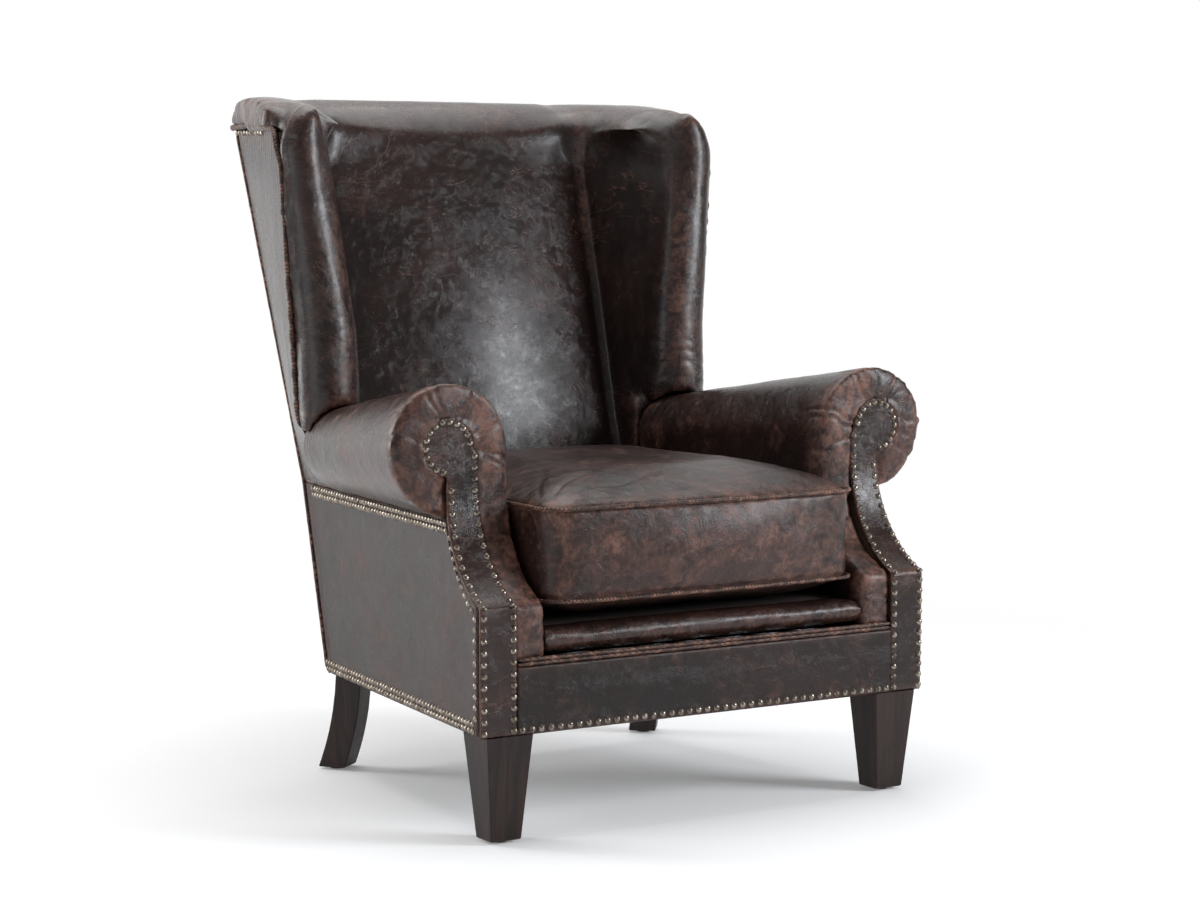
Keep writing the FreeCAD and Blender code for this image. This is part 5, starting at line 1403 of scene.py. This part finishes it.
def set_camera(scene):
    """The photograph's own camera, solved from the chair: place in metres, turn in radians."""
    place, azimuth, elevation = (-2.32716, -3.80797, 0.90067), -0.56716, 0.13727
    camera = bpy.data.cameras.new("camera")
    camera.sensor_width = 36.0
    camera.lens = 84.0
    camera.shift_y = 139.9 / 1200.0
    camera.clip_end = 60.0
    back = Vector((math.sin(azimuth) * math.cos(elevation),
                   -math.cos(azimuth) * math.cos(elevation), math.sin(elevation)))
    right = Vector((math.cos(azimuth), math.sin(azimuth), 0.0))
    turn = Matrix((right, back.cross(right), back)).transposed()
    scene.camera = added("camera", camera)
    scene.camera.matrix_world = Matrix.Translation(place) @ turn.to_4x4()


class ARMCHAIR_OT_stage(bpy.types.Operator):
    """White floor and surroundings, soft boxes and the camera"""

    bl_idname = "armchair.stage"
    bl_label = "Studio"

    def execute(self, context):
        scene = context.scene
        levels = scene.armchair_studio
        cool = (0.92, 0.955, 1.0)
        scene.view_settings.view_transform = "Standard"
        surroundings(scene, levels.ambient)
        paper_floor()
        lamp("front_lamp", (2.3, -2.6, 1.55), (0.0, 0.1, 0.75), (1.15, 1.15), levels.key, cool)
        lamp("side_lamp", (-3.0, -0.9, 1.0), (0.0, 0.0, 0.7), (1.4, 1.6), levels.side, cool)
        lamp("rear_lamp", (-2.4, 2.3, 1.2), (-0.3, 0.1, 0.8), (1.2, 2.0), levels.rear)
        lamp("top_lamp", (0.0, 0.5, 3.2), (0.0, 0.0, 0.0), (2.8, 2.4), levels.top)
        set_camera(scene)
        return {"FINISHED"}


OPERATORS = (
    ARMCHAIR_OT_arms,
    ARMCHAIR_OT_back,
    ARMCHAIR_OT_facings,
    ARMCHAIR_OT_panels,
    ARMCHAIR_OT_seat,
    ARMCHAIR_OT_cushion,
    ARMCHAIR_OT_welts,
    ARMCHAIR_OT_legs,
    ARMCHAIR_OT_hardware,
    ARMCHAIR_OT_stage,
)


class ARMCHAIR_PT_build(bpy.types.Panel):
    """Lists the steps that dress the armchair"""

    bl_idname = "ARMCHAIR_PT_build"
    bl_label = "Armchair"
    bl_space_type = "VIEW_3D"
    bl_region_type = "UI"
    bl_category = "Armchair"

    def draw(self, context):
        for group in (context.scene.armchair_leather, context.scene.armchair_shape,
                      context.scene.armchair_studio):
            for name in group.__annotations__:
                self.layout.prop(group, name)
        for operator in OPERATORS:
            self.layout.operator(operator.bl_idname)


CLASSES = (LeatherLook, PadShape, StudioLevels) + OPERATORS + (ARMCHAIR_PT_build,)


def register():
    for item in CLASSES:
        bpy.utils.register_class(item)
    bpy.types.Scene.armchair_leather = PointerProperty(type=LeatherLook)
    bpy.types.Scene.armchair_shape = PointerProperty(type=PadShape)
    bpy.types.Scene.armchair_studio = PointerProperty(type=StudioLevels)


def unregister():
    del bpy.types.Scene.armchair_studio
    del bpy.types.Scene.armchair_shape
    del bpy.types.Scene.armchair_leather
    for item in reversed(CLASSES):
        bpy.utils.unregister_class(item)


def main():
    """Registers the add-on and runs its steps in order."""
    register()
    leather_group()
    for operator in OPERATORS:
        group, name = operator.bl_idname.split(".")
        getattr(getattr(bpy.ops, group), name)()


if __name__ == "__main__":
    main()
